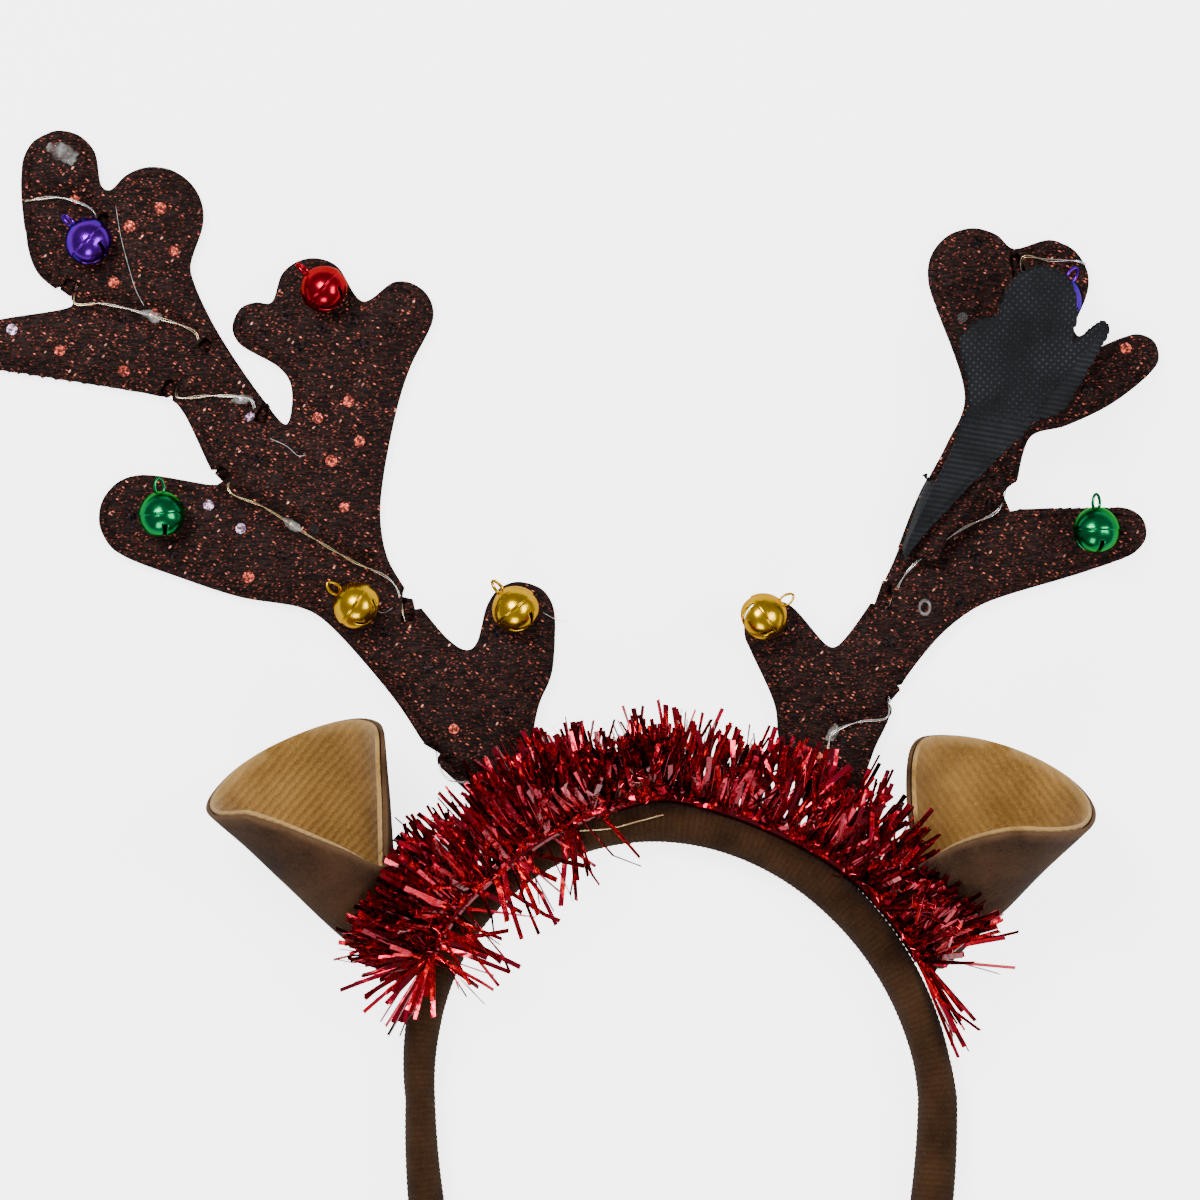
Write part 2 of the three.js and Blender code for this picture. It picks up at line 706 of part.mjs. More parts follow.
function antlerParts(limbs, route, drops, folded) {
  const fold = foldLine();
  let pad = padSolid(limbs, padBase);
  let backing = sheetSolid(limbs, backingInset, 0, backingThick);
  if (folded) {
    const padInner = foldRadius;
    const backInner = foldRadius + padThick + gap;
    pad = pad.add(turnedOver(padSolid(folded, padBase), fold))
      .subtract(foldRoll(fold, backInner - gap, backInner + backingThick + gap))
      .add(foldRoll(fold, padInner, padInner + padThick));
    backing = backing.add(foldRoll(fold, backInner, backInner + backingThick))
      .add(turnedOver(sheetSolid(folded, backingInset, 0, backingThick), fold));
  }
  const roofHeight = wireBack + wireRadius + wireClear + pinchRoof;
  const prism = sheetSolid(limbs, backingInset, 0, roofHeight);
  const corner = 1 / Math.cos(Math.PI / roofSides);
  for (const rows of backRuns(route)) {
    const curve = routeCurve(rows);
    const roof = (wireRadius + wireClear + pinchRoof) * corner;
    const roofSteps = Math.round(roofStepsPerRow * rows.length);
    backing = backing.add(solidOf(tube(curve, roof, roofSteps, roofSides)).intersect(prism));
    pad = pad.subtract(solidOf(tube(curve, roof + gap * corner, roofSteps, roofSides)));
  }
  const steps = Math.round(wireStepsPerRow * route.length);
  const channel = solidOf(tube(routeCurve(route), wireRadius + wireClear, steps, wireSides));
  let wire = solidOf(tube(routeCurve(route), wireRadius, steps, wireSides));
  for (const { out, up } of drops) {
    const slim = dropWidth / dropLength;
    const drop = new THREE.SphereGeometry(dropLength / 2, 6, 4).scale(1, slim, slim);
    const height = padTop + dropWidth / 2 + gap;
    wire = wire.add(solidOf(drop.translate(out * antlerHeight, up * antlerHeight, height)));
  }
  return { pad: pad.subtract(channel), backing: backing.subtract(channel), wire };
}

// Turns shapes drawn outwards from an antler's foot to their place on the arch
function placed(solid, turn, sense) {
  const geometry = geometryOf(solid);
  const foot = archPoint(turn);
  const place = geometry.attributes.position;
  for (let i = 0; i < place.count; i++) {
    place.setXYZ(i, foot.x + sense * place.getX(i), foot.y + place.getY(i), place.getZ(i));
  }
  if (sense < 0) {
    const index = geometry.index.array;
    for (let i = 0; i < index.length; i += 3) [index[i], index[i + 1]] = [index[i + 1], index[i]];
  }
  return solidOf(geometry);
}

// A hollow bell with a cross of slots opposite its loop, lying on its side along +X
function bellSolid() {
  const ball = (radius, sides, rows) => {
    const profile = Array.from({ length: rows + 1 }, (_, i) => {
      const angle = (i / rows) * Math.PI;
      return new THREE.Vector2(Math.sin(angle) * radius, -Math.cos(angle) * radius);
    });
    return solidOf(new THREE.LatheGeometry(profile, sides).rotateZ(-Math.PI / 2));
  };
  const slot = (wide, tall) => solidOf(
    new THREE.BoxGeometry(bellRadius, wide, tall).translate(-bellRadius * slotPlace, 0, 0));
  const loop = solidOf(new THREE.TorusGeometry(loopRadius, loopWire, 3, 7)
    .translate(bellRadius + loopRadius - loopWire, 0, 0));
  return ball(bellRadius, bellSides, bellRows)
    .subtract(ball(bellRadius - bellWall, hollowSides, hollowRows))
    .subtract(slot(bellSlot, bellRadius * slotReach))
    .subtract(slot(bellRadius * slotReach, bellSlot))
    .add(loop);
}

function addBells(side, bells, footTurn, sense) {
  const fold = foldLine();
  const foot = archPoint(footTurn);
  for (const bell of bells) {
    const spot = new THREE.Vector3(bell.out, bell.up, 0).multiplyScalar(antlerHeight);
    const away = spot.clone().sub(fold.start);
    const climb = away.dot(fold.across) * foldTurn + away.dot(fold.run) * foldClimb;
    const shelf = padTop + 2 * foldRadius + climb - Math.hypot(bellRadius, bellRadius * foldTurn);
    const height = bell.under ? shelf - gap : padTop + gap + bellRadius;
    const geometry = geometryOf(bellSolid()).rotateX(Math.PI / 4).rotateZ(radians(bell.turn));
    geometry.translate(foot.x + sense * spot.x, foot.y + spot.y, height);
    addMesh(`${side}_bell_${bell.name}`, geometry, bell.name.split("_").pop());
  }
}

// A point of an ear's cone; deep is the distance in from its outer face
function earPoint(ear, around, reach, deep) {
  const [spread, heading] = [radians(ear.spread), radians(ear.heading)];
  const turnOf = radians(around) * ear.sense;
  const axis = new THREE.Vector3(Math.cos(spread), 0, Math.sin(spread));
  const down = new THREE.Vector3(Math.sin(spread), 0, -Math.cos(spread));
  const side = new THREE.Vector3(0, -1, 0);
  const slant = axis.clone().multiplyScalar(Math.cos(spread))
    .addScaledVector(down, Math.sin(spread) * Math.cos(turnOf))
    .addScaledVector(side, Math.sin(spread) * Math.sin(turnOf));
  const point = axis.multiplyScalar(deep / Math.sin(spread))
    .addScaledVector(slant, reach - deep / Math.tan(spread));
  const apex = besideArch(ear.turn, bandThick * earSeat, 0);
  return point.applyAxisAngle(new THREE.Vector3(0, 0, 1), heading).add(apex);
}

// Points round a cone at a share of the way from its root to its rim; deeper skins start further up
function earRing(ear, share, deep) {
  const root = earRoot + (deep / earWall) * earRootStep;
  return Array.from({ length: earSides }, (_, k) => {
    const past = (k / earSides) * 360;
    const rim = along(earRim, "past", past, "reach") * earReach * ear.size;
    return earPoint(ear, ear.foldAt + past, rim * THREE.MathUtils.lerp(root, 1, share), deep);
  });
}

// A rolled wall between two depths, open at its rim and closed at its root
function earWallSolid(ear, outer, inner) {
  const shares = Array.from({ length: earRows + 1 }, (_, i) => i / earRows);
  const skin = shares.map((share) => earRing(ear, share, outer));
  return solidOf(loft([...skin, ...shares.reverse().map((share) => earRing(ear, share, inner))]));
}

// The whole room that an ear takes up, with a gap round it
function earFilled(ear) {
  return solidOf(loft([0, 0.5, 1, earRoom].map((share) => earRing(ear, share, -gap))));
}

function garlandCurve() {
  const points = garland.map(({ turn, out, lift }) => {
    const clearance = lift === 1 ? gap : 0;
    return besideArch(turn, bandThick * out, bandDepth * lift + coreRadius + clearance);
  });
  return new THREE.CatmullRomCurve3(points, false, "centripetal");
}

// Film strips set round the core in a spiral, each a thin tapered lock
function garlandSolid() {
  const curve = garlandCurve();
  let solid = solidOf(tube(curve, coreRadius, coreSteps, coreSides));
  for (let i = 0; i < lockCount; i++) {
    const row = locks[i % locks.length];
    const u = (i + 0.5) / lockCount;
    const run = curve.getTangentAt(u).setZ(0).normalize();
    const outward = new THREE.Vector3(-run.y, run.x, 0);
    const lift = radians(row.lift > 90 && u > overSleeve ? 180 - row.lift : row.lift);
    const heading = outward.applyAxisAngle(new THREE.Vector3(0, 0, 1), radians(row.sway));
    const aim = heading.multiplyScalar(Math.cos(lift)).setZ(Math.sin(lift));
    const size = lockLength * row.long;
    const lock = new THREE.CylinderGeometry(lockTip / 2, lockWidth / 2, size, 3).translate(0, size / 2, 0);
    lock.applyQuaternion(new THREE.Quaternion().setFromUnitVectors(new THREE.Vector3(0, 1, 0), aim));
    solid = solid.add(solidOf(lock.translate(...curve.getPointAt(u).toArray())));
  }
  return solid;
}

// Assembly
const grownBand = solidOf(bandGeometry(gap));
addMesh("band", bandGeometry(0), "bandCloth");

const antlers = [
  {
    side: "left", turn: 122, sense: -1,
    limbs: leftLimbs, route: leftRoute, drops: leftDrops, bells: leftBells,
  },
  {
    side: "right", turn: 47, sense: 1,
    limbs: rightLimbs, route: rightRoute, drops: rightDrops, bells: rightBells, folded: foldedLimbs,
  },
];
for (const { side, turn, sense, limbs, route, drops, bells, folded } of antlers) {
  const parts = antlerParts(limbs, route, drops, folded);
  const pad = placed(parts.pad, turn, sense).subtract(grownBand);
  const backing = placed(parts.backing, turn, sense).subtract(grownBand);
  addMesh(`${side}_antler_pad`, geometryOf(pad), "glitterCloth");
  addMesh(`${side}_antler_backing`, geometryOf(backing), "backCloth");
  addMesh(`${side}_light_wire`, geometryOf(placed(parts.wire, turn, sense)), "silverWire");
  addBells(side, bells, turn, sense);
}

let garlandBody = garlandSolid().subtract(grownBand);
for (const ear of ears) {
  const shell = earWallSolid(ear, 0, earWall).subtract(grownBand);
  const lining = earWallSolid(ear, earWall + gap, 2 * earWall + gap).subtract(grownBand);
  addMesh(`${ear.name}_ear_shell`, geometryOf(shell), "earFelt");
  addMesh(`${ear.name}_ear_lining`, geometryOf(lining), "earVelour");
  garlandBody = garlandBody.subtract(earFilled(ear));
}
addMesh("tinsel_garland", geometryOf(garlandBody), "redFilm");

// Origin under the middle of the object, on the surface that it lies on
const extent = new THREE.Box3().setFromObject(group);
const middle = extent.getCenter(new THREE.Vector3());
group.position.set(-middle.x, -middle.y, -extent.min.z);

export default group;
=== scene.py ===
import bpy
import bmesh
import math
import random
from mathutils import Matrix, Vector, noise
from mathutils.bvhtree import BVHTree
from mathutils.kdtree import KDTree


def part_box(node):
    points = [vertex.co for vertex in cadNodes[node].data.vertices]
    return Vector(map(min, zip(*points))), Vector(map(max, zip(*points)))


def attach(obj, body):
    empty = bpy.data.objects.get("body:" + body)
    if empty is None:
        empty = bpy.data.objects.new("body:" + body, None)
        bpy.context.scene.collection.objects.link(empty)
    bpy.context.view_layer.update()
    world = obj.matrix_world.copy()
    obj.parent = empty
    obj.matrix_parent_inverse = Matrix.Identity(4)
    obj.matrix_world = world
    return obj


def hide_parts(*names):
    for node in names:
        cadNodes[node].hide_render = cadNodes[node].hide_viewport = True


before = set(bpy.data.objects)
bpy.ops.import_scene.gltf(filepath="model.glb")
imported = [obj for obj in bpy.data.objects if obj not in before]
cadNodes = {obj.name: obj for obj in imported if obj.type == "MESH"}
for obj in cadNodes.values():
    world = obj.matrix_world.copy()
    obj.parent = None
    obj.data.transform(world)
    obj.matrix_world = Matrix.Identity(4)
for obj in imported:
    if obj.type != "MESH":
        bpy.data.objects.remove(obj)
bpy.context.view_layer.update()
print("frame loaded:", len(cadNodes), "nodes")


# Small helpers for nodes, meshes and paths

def plug(tree, node, inputs):
    for key, value in inputs.items():
        if isinstance(value, bpy.types.NodeSocket):
            tree.links.new(value, node.inputs[key])
        else:
            node.inputs[key].default_value = value
    return node


def addNode(tree, kind, inputs=None, **settings):
    made = tree.nodes.new("ShaderNode" + kind)
    for key, value in settings.items():
        setattr(made, key, value)
    return plug(tree, made, inputs or {})


def useGroup(tree, group, inputs):
    made = tree.nodes.new("ShaderNodeGroup")
    made.node_tree = group
    return plug(tree, made, inputs).outputs


def addMaterial(name, fixed):
    material = bpy.data.materials.new(name)
    material.use_nodes = True
    shader = material.node_tree.nodes["Principled BSDF"]
    for key, value in fixed.items():
        shader.inputs[key].default_value = value
    return material, material.node_tree, shader


def startGroup(name, inputs, outputs):
    group = bpy.data.node_groups.new(name, "ShaderNodeTree")
    for label, kind, value in inputs:
        socket = group.interface.new_socket(label, in_out="INPUT", socket_type="NodeSocket" + kind)
        if value is not None:
            socket.default_value = value
    for label, kind in outputs:
        group.interface.new_socket(label, in_out="OUTPUT", socket_type="NodeSocket" + kind)
    return group, group.nodes.new("NodeGroupInput").outputs, group.nodes.new("NodeGroupOutput").inputs


def wrappedGrid(alongSteps, aroundSteps, place, close=True):
    # a grid bent round so that its sides meet: place(u, v) gives each corner's point
    bm = bmesh.new()
    bmesh.ops.create_grid(bm, x_segments=alongSteps, y_segments=aroundSteps, size=0.5)
    for vert in bm.verts:
        vert.co = place(vert.co.x + 0.5, vert.co.y + 0.5)
    bmesh.ops.remove_doubles(bm, verts=bm.verts, dist=1e-7)
    if close:
        bmesh.ops.holes_fill(bm, edges=[e for e in bm.edges if e.is_boundary], sides=0)
    bmesh.ops.recalc_face_normals(bm, faces=bm.faces)
    return bm


def copyOfNode(name):
    bm = bmesh.new()
    bm.from_mesh(cadNodes[name].data)
    bmesh.ops.remove_doubles(bm, verts=bm.verts, dist=1e-6)
    return bm


def joined(parts):
    whole = bmesh.new()
    for part in parts:
        mesh = bpy.data.meshes.new("part")
        part.to_mesh(mesh)
        part.free()
        whole.from_mesh(mesh)
        bpy.data.meshes.remove(mesh)
    return whole


def addPiece(bm, name, material, standsFor=()):
    mesh = bpy.data.meshes.new(name)
    bm.to_mesh(mesh)
    bm.free()
    mesh.shade_smooth()
    mesh.materials.append(material)
    piece = bpy.data.objects.new(name, mesh)
    bpy.context.scene.collection.objects.link(piece)
    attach(piece, "root")
    if standsFor:
        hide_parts(*standsFor)
    return piece


def applyModifiers(piece):
    made = piece.evaluated_get(bpy.context.evaluated_depsgraph_get())
    mesh = bpy.data.meshes.new_from_object(made)
    piece.modifiers.clear()
    old = piece.data
    piece.data = mesh
    bpy.data.meshes.remove(old)


def remeshed(piece, voxel):
    remesh = piece.modifiers.new("remesh", "REMESH")
    remesh.mode = "VOXEL"
    remesh.voxel_size = voxel
    remesh.use_smooth_shade = True
    applyModifiers(piece)


def subdivided(piece, levels):
    finer = piece.modifiers.new("finer", "SUBSURF")
    finer.levels = finer.render_levels = levels
    applyModifiers(piece)


def smoothPath(points, perSpan):
    # centripetal Catmull-Rom through the points
    rows = [points[0] * 2 - points[1], *points, points[-1] * 2 - points[-2]]
    path = []
    for i in range(1, len(rows) - 2):
        p = rows[i - 1:i + 3]
        t = [0.0]
        for a, b in zip(p, p[1:]):
            t.append(t[-1] + max((b - a).length, 1e-6) ** 0.5)
        for k in range(perSpan):
            s = t[1] + (t[2] - t[1]) * k / perSpan
            a1 = p[0].lerp(p[1], (s - t[0]) / (t[1] - t[0]))
            a2 = p[1].lerp(p[2], (s - t[1]) / (t[2] - t[1]))
            a3 = p[2].lerp(p[3], (s - t[2]) / (t[3] - t[2]))
            b1 = a1.lerp(a2, (s - t[0]) / (t[2] - t[0]))
            b2 = a2.lerp(a3, (s - t[1]) / (t[3] - t[1]))
            path.append(b1.lerp(b2, (s - t[1]) / (t[2] - t[1])))
    return path + [points[-1]]


def between(rows, place):
    # straight interpolation in a table of (place, value) rows
    for (a, valueA), (b, valueB) in zip(rows, rows[1:]):
        if place <= b:
            return valueA + (valueB - valueA) * max(0, (place - a) / (b - a))
    return rows[-1][1]


def bell01(distance, reach):
    # falls from one to nothing over about twice the reach
    return math.exp(-(distance / reach) ** 2)


def flatTree(points):
    tree = KDTree(len(points))
    for i, point in enumerate(points):
        tree.insert((point.x, point.y, 0), i)
    tree.balance()
    return tree


def strandMesh(paths, radius):
    # round wires along open paths, as one mesh
    curve = bpy.data.curves.new("strands", "CURVE")
    curve.dimensions = "3D"
    curve.bevel_depth = radius
    curve.bevel_resolution = 1
    curve.use_fill_caps = True
    for path in paths:
        spline = curve.splines.new("POLY")
        spline.points.add(len(path) - 1)
        for point, co in zip(spline.points, path):
            point.co = (*co, 1)
    drawn = bpy.data.objects.new("strands", curve)
    bpy.context.scene.collection.objects.link(drawn)
    mesh = bpy.data.meshes.new_from_object(drawn.evaluated_get(bpy.context.evaluated_depsgraph_get()))
    bpy.data.objects.remove(drawn)
    bm = bmesh.new()
    bm.from_mesh(mesh)
    bpy.data.meshes.remove(mesh)
    bmesh.ops.remove_doubles(bm, verts=bm.verts, dist=1e-7)
    return bm


# Shader groups

def makeFuzzGroup():
    # soft mottling of short fibres: a mask of light and dark, and a height
    group, given, out = startGroup(
        "fibreFuzz",
        [("Vector", "Vector", None), ("Fibre", "Float", 0.0006), ("Patch", "Float", 0.008)],
        [("Mask", "Float"), ("Height", "Float")])
    fine = addNode(group, "Math", {0: 1.0, 1: given["Fibre"]}, operation="DIVIDE")
    wide = addNode(group, "Math", {0: 1.0, 1: given["Patch"]}, operation="DIVIDE")
    hairs = addNode(group, "TexNoise", {"Vector": given["Vector"], "Scale": fine.outputs[0], "Detail": 4.0,
                                        "Roughness": 0.7, "Distortion": 1.2})
    patches = addNode(group, "TexNoise", {"Vector": given["Vector"], "Scale": wide.outputs[0], "Detail": 2.0})
    mixed = addNode(group, "Math", {0: hairs.outputs[0], 1: patches.outputs[0]}, operation="ADD")
    spread = addNode(group, "MapRange", {"Value": mixed.outputs[0], "From Min": 0.75, "From Max": 1.25})
    group.links.new(spread.outputs[0], out["Mask"])
    group.links.new(hairs.outputs[0], out["Height"])
    return group


def makeFleckGroup():
    # short dashes of bright thread, some of them lit: a mask, and a painted glint for each dash, dim on most and
    # bright on few
    group, given, out = startGroup(
        "glitterFlecks",
        [("Vector", "Vector", None), ("Pitch", "Float", 0.001), ("Turn", "Float", 0.0),
         ("Share", "Float", 0.3), ("Width", "Float", 0.2), ("Drawn", "Float", 0.36)],
        [("Mask", "Float"), ("Glint", "Float")])
    turned = addNode(group, "VectorRotate", {"Vector": given["Vector"], "Angle": given["Turn"]},
                     rotation_type="Z_AXIS")
    perMetre = addNode(group, "Math", {0: 1.0, 1: given["Pitch"]}, operation="DIVIDE")
    scaled = addNode(group, "VectorMath", {0: turned.outputs[0], "Scale": perMetre.outputs[0]}, operation="SCALE")
    stretch = addNode(group, "CombineXYZ", {"X": given["Drawn"], "Y": 1.0, "Z": 1.0})
    drawn = addNode(group, "VectorMath", {0: scaled.outputs[0], 1: stretch.outputs[0]}, operation="MULTIPLY")
    cells = addNode(group, "TexVoronoi", {"Vector": drawn.outputs[0], "Scale": 1.0}, voronoi_dimensions="2D")
    split = addNode(group, "SeparateColor", {"Color": cells.outputs["Color"]})
    near = addNode(group, "MapRange", {"Value": cells.outputs["Distance"], "From Min": given["Width"],
                                       "From Max": 0.0, "To Min": 0.0, "To Max": 2.5})
    rest = addNode(group, "Math", {0: 1.0, 1: given["Share"]}, operation="SUBTRACT")
    lit = addNode(group, "Math", {0: split.outputs[0], 1: rest.outputs[0]}, operation="GREATER_THAN")
    mask = addNode(group, "Math", {0: near.outputs[0], 1: lit.outputs[0]}, operation="MULTIPLY", use_clamp=True)
    tone = addNode(group, "Math", {0: split.outputs[1], 1: 3.0}, operation="POWER")
    group.links.new(mask.outputs[0], out["Mask"])
    group.links.new(tone.outputs[0], out["Glint"])
    return group


def makeRibGroup():
    # parallel ridges of pile or yarn, a little uneven: a height
    group, given, out = startGroup(
        "fineRibs",
        [("Vector", "Vector", None), ("Turn", "Float", 0.0), ("Pitch", "Float", 0.0019), ("Waver", "Float", 0.0004)],
        [("Height", "Float")])
    wander = addNode(group, "TexNoise", {"Vector": given["Vector"], "Scale": 140.0, "Detail": 2.0})
    centred = addNode(group, "VectorMath", {0: wander.outputs["Color"], 1: (0.5, 0.5, 0.5)}, operation="SUBTRACT")
    moved = addNode(group, "VectorMath", {0: centred.outputs[0], "Scale": given["Waver"]}, operation="SCALE")
    placed = addNode(group, "VectorMath", {0: given["Vector"], 1: moved.outputs[0]}, operation="ADD")
    turned = addNode(group, "VectorRotate", {"Vector": placed.outputs[0], "Angle": given["Turn"]},
                     rotation_type="Z_AXIS")
    split = addNode(group, "SeparateXYZ", {"Vector": turned.outputs[0]})
    phase = addNode(group, "Math", {0: split.outputs[0], 1: given["Pitch"]}, operation="DIVIDE")
    angle = addNode(group, "Math", {0: phase.outputs[0], 1: math.tau}, operation="MULTIPLY")
    wave = addNode(group, "Math", {0: angle.outputs[0]}, operation="SINE")
    half = addNode(group, "Math", {0: wave.outputs[0], 1: 0.5, 2: 0.5}, operation="MULTIPLY_ADD")
    group.links.new(half.outputs[0], out["Height"])
    return group


fuzzGroup = makeFuzzGroup()
fleckGroup = makeFleckGroup()
ribGroup = makeRibGroup()


def mixOver(tree, mask, under, over):
    mixed = addNode(tree, "Mix", {"Factor": mask}, data_type="RGBA")
    for place, value in ((6, under), (7, over)):
        if isinstance(value, bpy.types.NodeSocket):
            tree.links.new(value, mixed.inputs[place])
        else:
            mixed.inputs[place].default_value = (*value, 1)
    return mixed.outputs[2]


def addBump(tree, shader, height, distance, strength=1.0, under=None):
    inputs = {"Height": height, "Distance": distance, "Strength": strength}
    if under is not None:
        inputs["Normal"] = under
    bump = addNode(tree, "Bump", inputs)
    tree.links.new(bump.outputs[0], shader.inputs["Normal"])
    return bump.outputs[0]


def objectPlace(tree):
    return addNode(tree, "TexCoord").outputs["Object"]


def attribute(tree, name):
    return addNode(tree, "Attribute", attribute_name=name).outputs["Fac"]


# Materials

def makeKnit():
    material, tree, shader = addMaterial("bandKnit", {"Roughness": 0.95, "Specular IOR Level": 0.05,
                                                      "Sheen Weight": 0.04, "Sheen Roughness": 0.5})
    fuzz = useGroup(tree, fuzzGroup, {"Vector": objectPlace(tree), "Fibre": 0.0007, "Patch": 0.012})
    colour = mixOver(tree, fuzz["Mask"], (0.018, 0.0072, 0.0026), (0.062, 0.028, 0.0115))
    # painted shade: the knit is darker in the valleys between its ribs
    shaded = mixOver(tree, attribute(tree, "ribValleyShade"), (0.014, 0.0060, 0.0022), colour)
    tree.links.new(shaded, shader.inputs["Base Color"])
    addBump(tree, shader, fuzz["Height"], 0.0005, 0.9)
    return material


def makeGlitterCloth():
    material, tree, shader = addMaterial("antlerGlitterCloth", {"Specular IOR Level": 0.06})
    place = objectPlace(tree)
    streaked = addNode(tree, "Mapping", {"Vector": place, "Rotation": (0, 0, 0.12), "Scale": (420, 2300, 900)})
    threads = addNode(tree, "TexNoise", {"Vector": streaked.outputs[0], "Scale": 1.0, "Detail": 2.0})
    satin = addNode(tree, "MapRange", {"Value": threads.outputs[0], "From Min": 0.45, "From Max": 0.68})
    colour = mixOver(tree, satin.outputs[0], (0.0034, 0.0016, 0.0013), (0.022, 0.0105, 0.0088))
    clouds = addNode(tree, "TexNoise", {"Vector": place, "Scale": 160.0, "Detail": 2.0})
    gathered = addNode(tree, "MapRange", {"Value": clouds.outputs[0], "From Min": 0.35, "From Max": 0.65,
                                          "To Min": 0.25, "To Max": 1.0})
    layers = [  # pitch, turn, share lit, width, how little drawn out, and the brightest painted glint
        (0.00055, 0.1, 0.50, 0.30, 0.42, (0.16, 0.040, 0.028)), (0.00068, -0.5, 0.42, 0.26, 0.5, (0.34, 0.070, 0.045)),
        (0.00085, 0.45, 0.24, 0.24, 0.45, (0.85, 0.20, 0.11)), (0.0014, -0.9, 0.07, 0.20, 0.5, (1.0, 0.42, 0.30))]
    metal = None
    for pitch, turn, share, width, drawn, brightestGlint in layers:
        fleck = useGroup(tree, fleckGroup, {"Vector": place, "Pitch": pitch, "Turn": turn, "Share": share,
                                            "Width": width, "Drawn": drawn})
        # each dash runs from dark copper to its layer's brightest tone: the thread's copper with a painted glint
        copperAndGlint = mixOver(tree, fleck["Glint"], (0.030, 0.007, 0.005), brightestGlint)
        colour = mixOver(tree, fleck["Mask"], colour, copperAndGlint)
        strong = addNode(tree, "Math", {0: fleck["Mask"], 1: gathered.outputs[0]}, operation="MULTIPLY")
        metal = strong.outputs[0] if metal is None else addNode(
            tree, "Math", {0: metal, 1: strong.outputs[0]}, operation="MAXIMUM").outputs[0]
    tree.links.new(colour, shader.inputs["Base Color"])
    shine = addNode(tree, "MapRange", {"Value": metal, "To Max": 0.6})
    tree.links.new(shine.outputs[0], shader.inputs["Metallic"])
    rough = addNode(tree, "MapRange", {"Value": metal, "To Min": 0.55, "To Max": 0.32})
    tree.links.new(rough.outputs[0], shader.inputs["Roughness"])
    weave = addBump(tree, shader, threads.outputs[0], 0.00025, 0.7)
    addBump(tree, shader, metal, 0.0001, 0.8, weave)
    return material


def makeBackCloth():
    material, tree, shader = addMaterial("blackNonWoven", {"Roughness": 0.6, "Specular IOR Level": 0.10})
    place = objectPlace(tree)
    turned = addNode(tree, "Mapping", {"Vector": place, "Rotation": (0, 0, 0.86)}).outputs[0]
    acrossRibs = useGroup(tree, ribGroup, {"Vector": turned, "Pitch": 0.00138, "Waver": 0.0001})
    alongRibs = useGroup(tree, ribGroup, {"Vector": turned, "Turn": math.pi / 2, "Pitch": 0.00138, "Waver": 0.0001})
    crossed = addNode(tree, "Math", {0: acrossRibs["Height"], 1: alongRibs["Height"]}, operation="MULTIPLY")
    dots = addNode(tree, "MapRange", {"Value": crossed.outputs[0], "From Min": 0.3, "From Max": 0.75})
    narrowRibs = useGroup(tree, ribGroup, {"Vector": place, "Turn": -1.40, "Pitch": 0.00135, "Waver": 0.0003})
    ribs = addNode(tree, "MapRange", {"Value": narrowRibs["Height"], "From Min": 0.2, "To Max": 0.4})
    raised = addNode(tree, "Mix", {"Factor": attribute(tree, "ribbed"), 2: dots.outputs[0], 3: ribs.outputs[0]})
    fuzz = useGroup(tree, fuzzGroup, {"Vector": place, "Fibre": 0.0005, "Patch": 0.01})
    ground = mixOver(tree, fuzz["Mask"], (0.0022, 0.0026, 0.0034), (0.0065, 0.0073, 0.0090))
    # painted highlight: the raised dots and ribs are lighter than the ground
    lit = addNode(tree, "Math", {0: raised.outputs[0], 1: fuzz["Mask"]}, operation="MULTIPLY")
    colour = mixOver(tree, lit.outputs[0], ground, (0.034, 0.038, 0.046))
    tree.links.new(colour, shader.inputs["Base Color"])
    under = addBump(tree, shader, fuzz["Height"], 0.0001, 0.5)
    addBump(tree, shader, raised.outputs[0], 0.00025, 1.0, under)
    return material


def makeFelt():
    material, tree, shader = addMaterial("earFelt", {"Roughness": 0.97, "Specular IOR Level": 0.06,
                                                     "Sheen Weight": 0.05, "Sheen Roughness": 0.5})
    fuzz = useGroup(tree, fuzzGroup, {"Vector": objectPlace(tree), "Fibre": 0.0011, "Patch": 0.014})
    colour = mixOver(tree, fuzz["Mask"], (0.018, 0.0072, 0.0028), (0.056, 0.0245, 0.0100))
    # painted highlight, lighter along the felt's rounded rim
    edged = mixOver(tree, attribute(tree, "rimHighlight"), colour, (0.12, 0.062, 0.028))
    tree.links.new(edged, shader.inputs["Base Color"])
    addBump(tree, shader, fuzz["Height"], 0.0005, 0.8)
    return material


def makeVelour(side, turn):
    material, tree, shader = addMaterial(side + "EarVelour", {"Roughness": 0.85, "Specular IOR Level": 0.15,
                                                              "Sheen Weight": 0.12, "Sheen Roughness": 0.4})
    place = objectPlace(tree)
    ribs = useGroup(tree, ribGroup, {"Vector": place, "Turn": turn, "Pitch": 0.0020, "Waver": 0.0012})
    weft = useGroup(tree, ribGroup, {"Vector": place, "Turn": turn + 1.25, "Pitch": 0.0006, "Waver": 0.0008})
    fuzz = useGroup(tree, fuzzGroup, {"Vector": place, "Fibre": 0.0008, "Patch": 0.015})
    colour = mixOver(tree, fuzz["Mask"], (0.165, 0.078, 0.014), (0.36, 0.190, 0.048))
    # painted shade, darker in the grooves between the velour's ribs
    grooveShade = addNode(tree, "MapRange", {"Value": ribs["Height"], "To Min": 0.30, "To Max": 0.0})
    shaded = mixOver(tree, grooveShade.outputs[0], colour, (0.120, 0.056, 0.010))
    # painted highlight, lighter along the velour's rounded rim
    edged = mixOver(tree, attribute(tree, "rimHighlight"), shaded, (0.44, 0.27, 0.10))
    tree.links.new(edged, shader.inputs["Base Color"])
    pile = addBump(tree, shader, fuzz["Height"], 0.0004, 0.7)
    fine = addBump(tree, shader, weft["Height"], 0.0001, 0.6, pile)
    addBump(tree, shader, ribs["Height"], 0.0003, 0.7, fine)
    return material


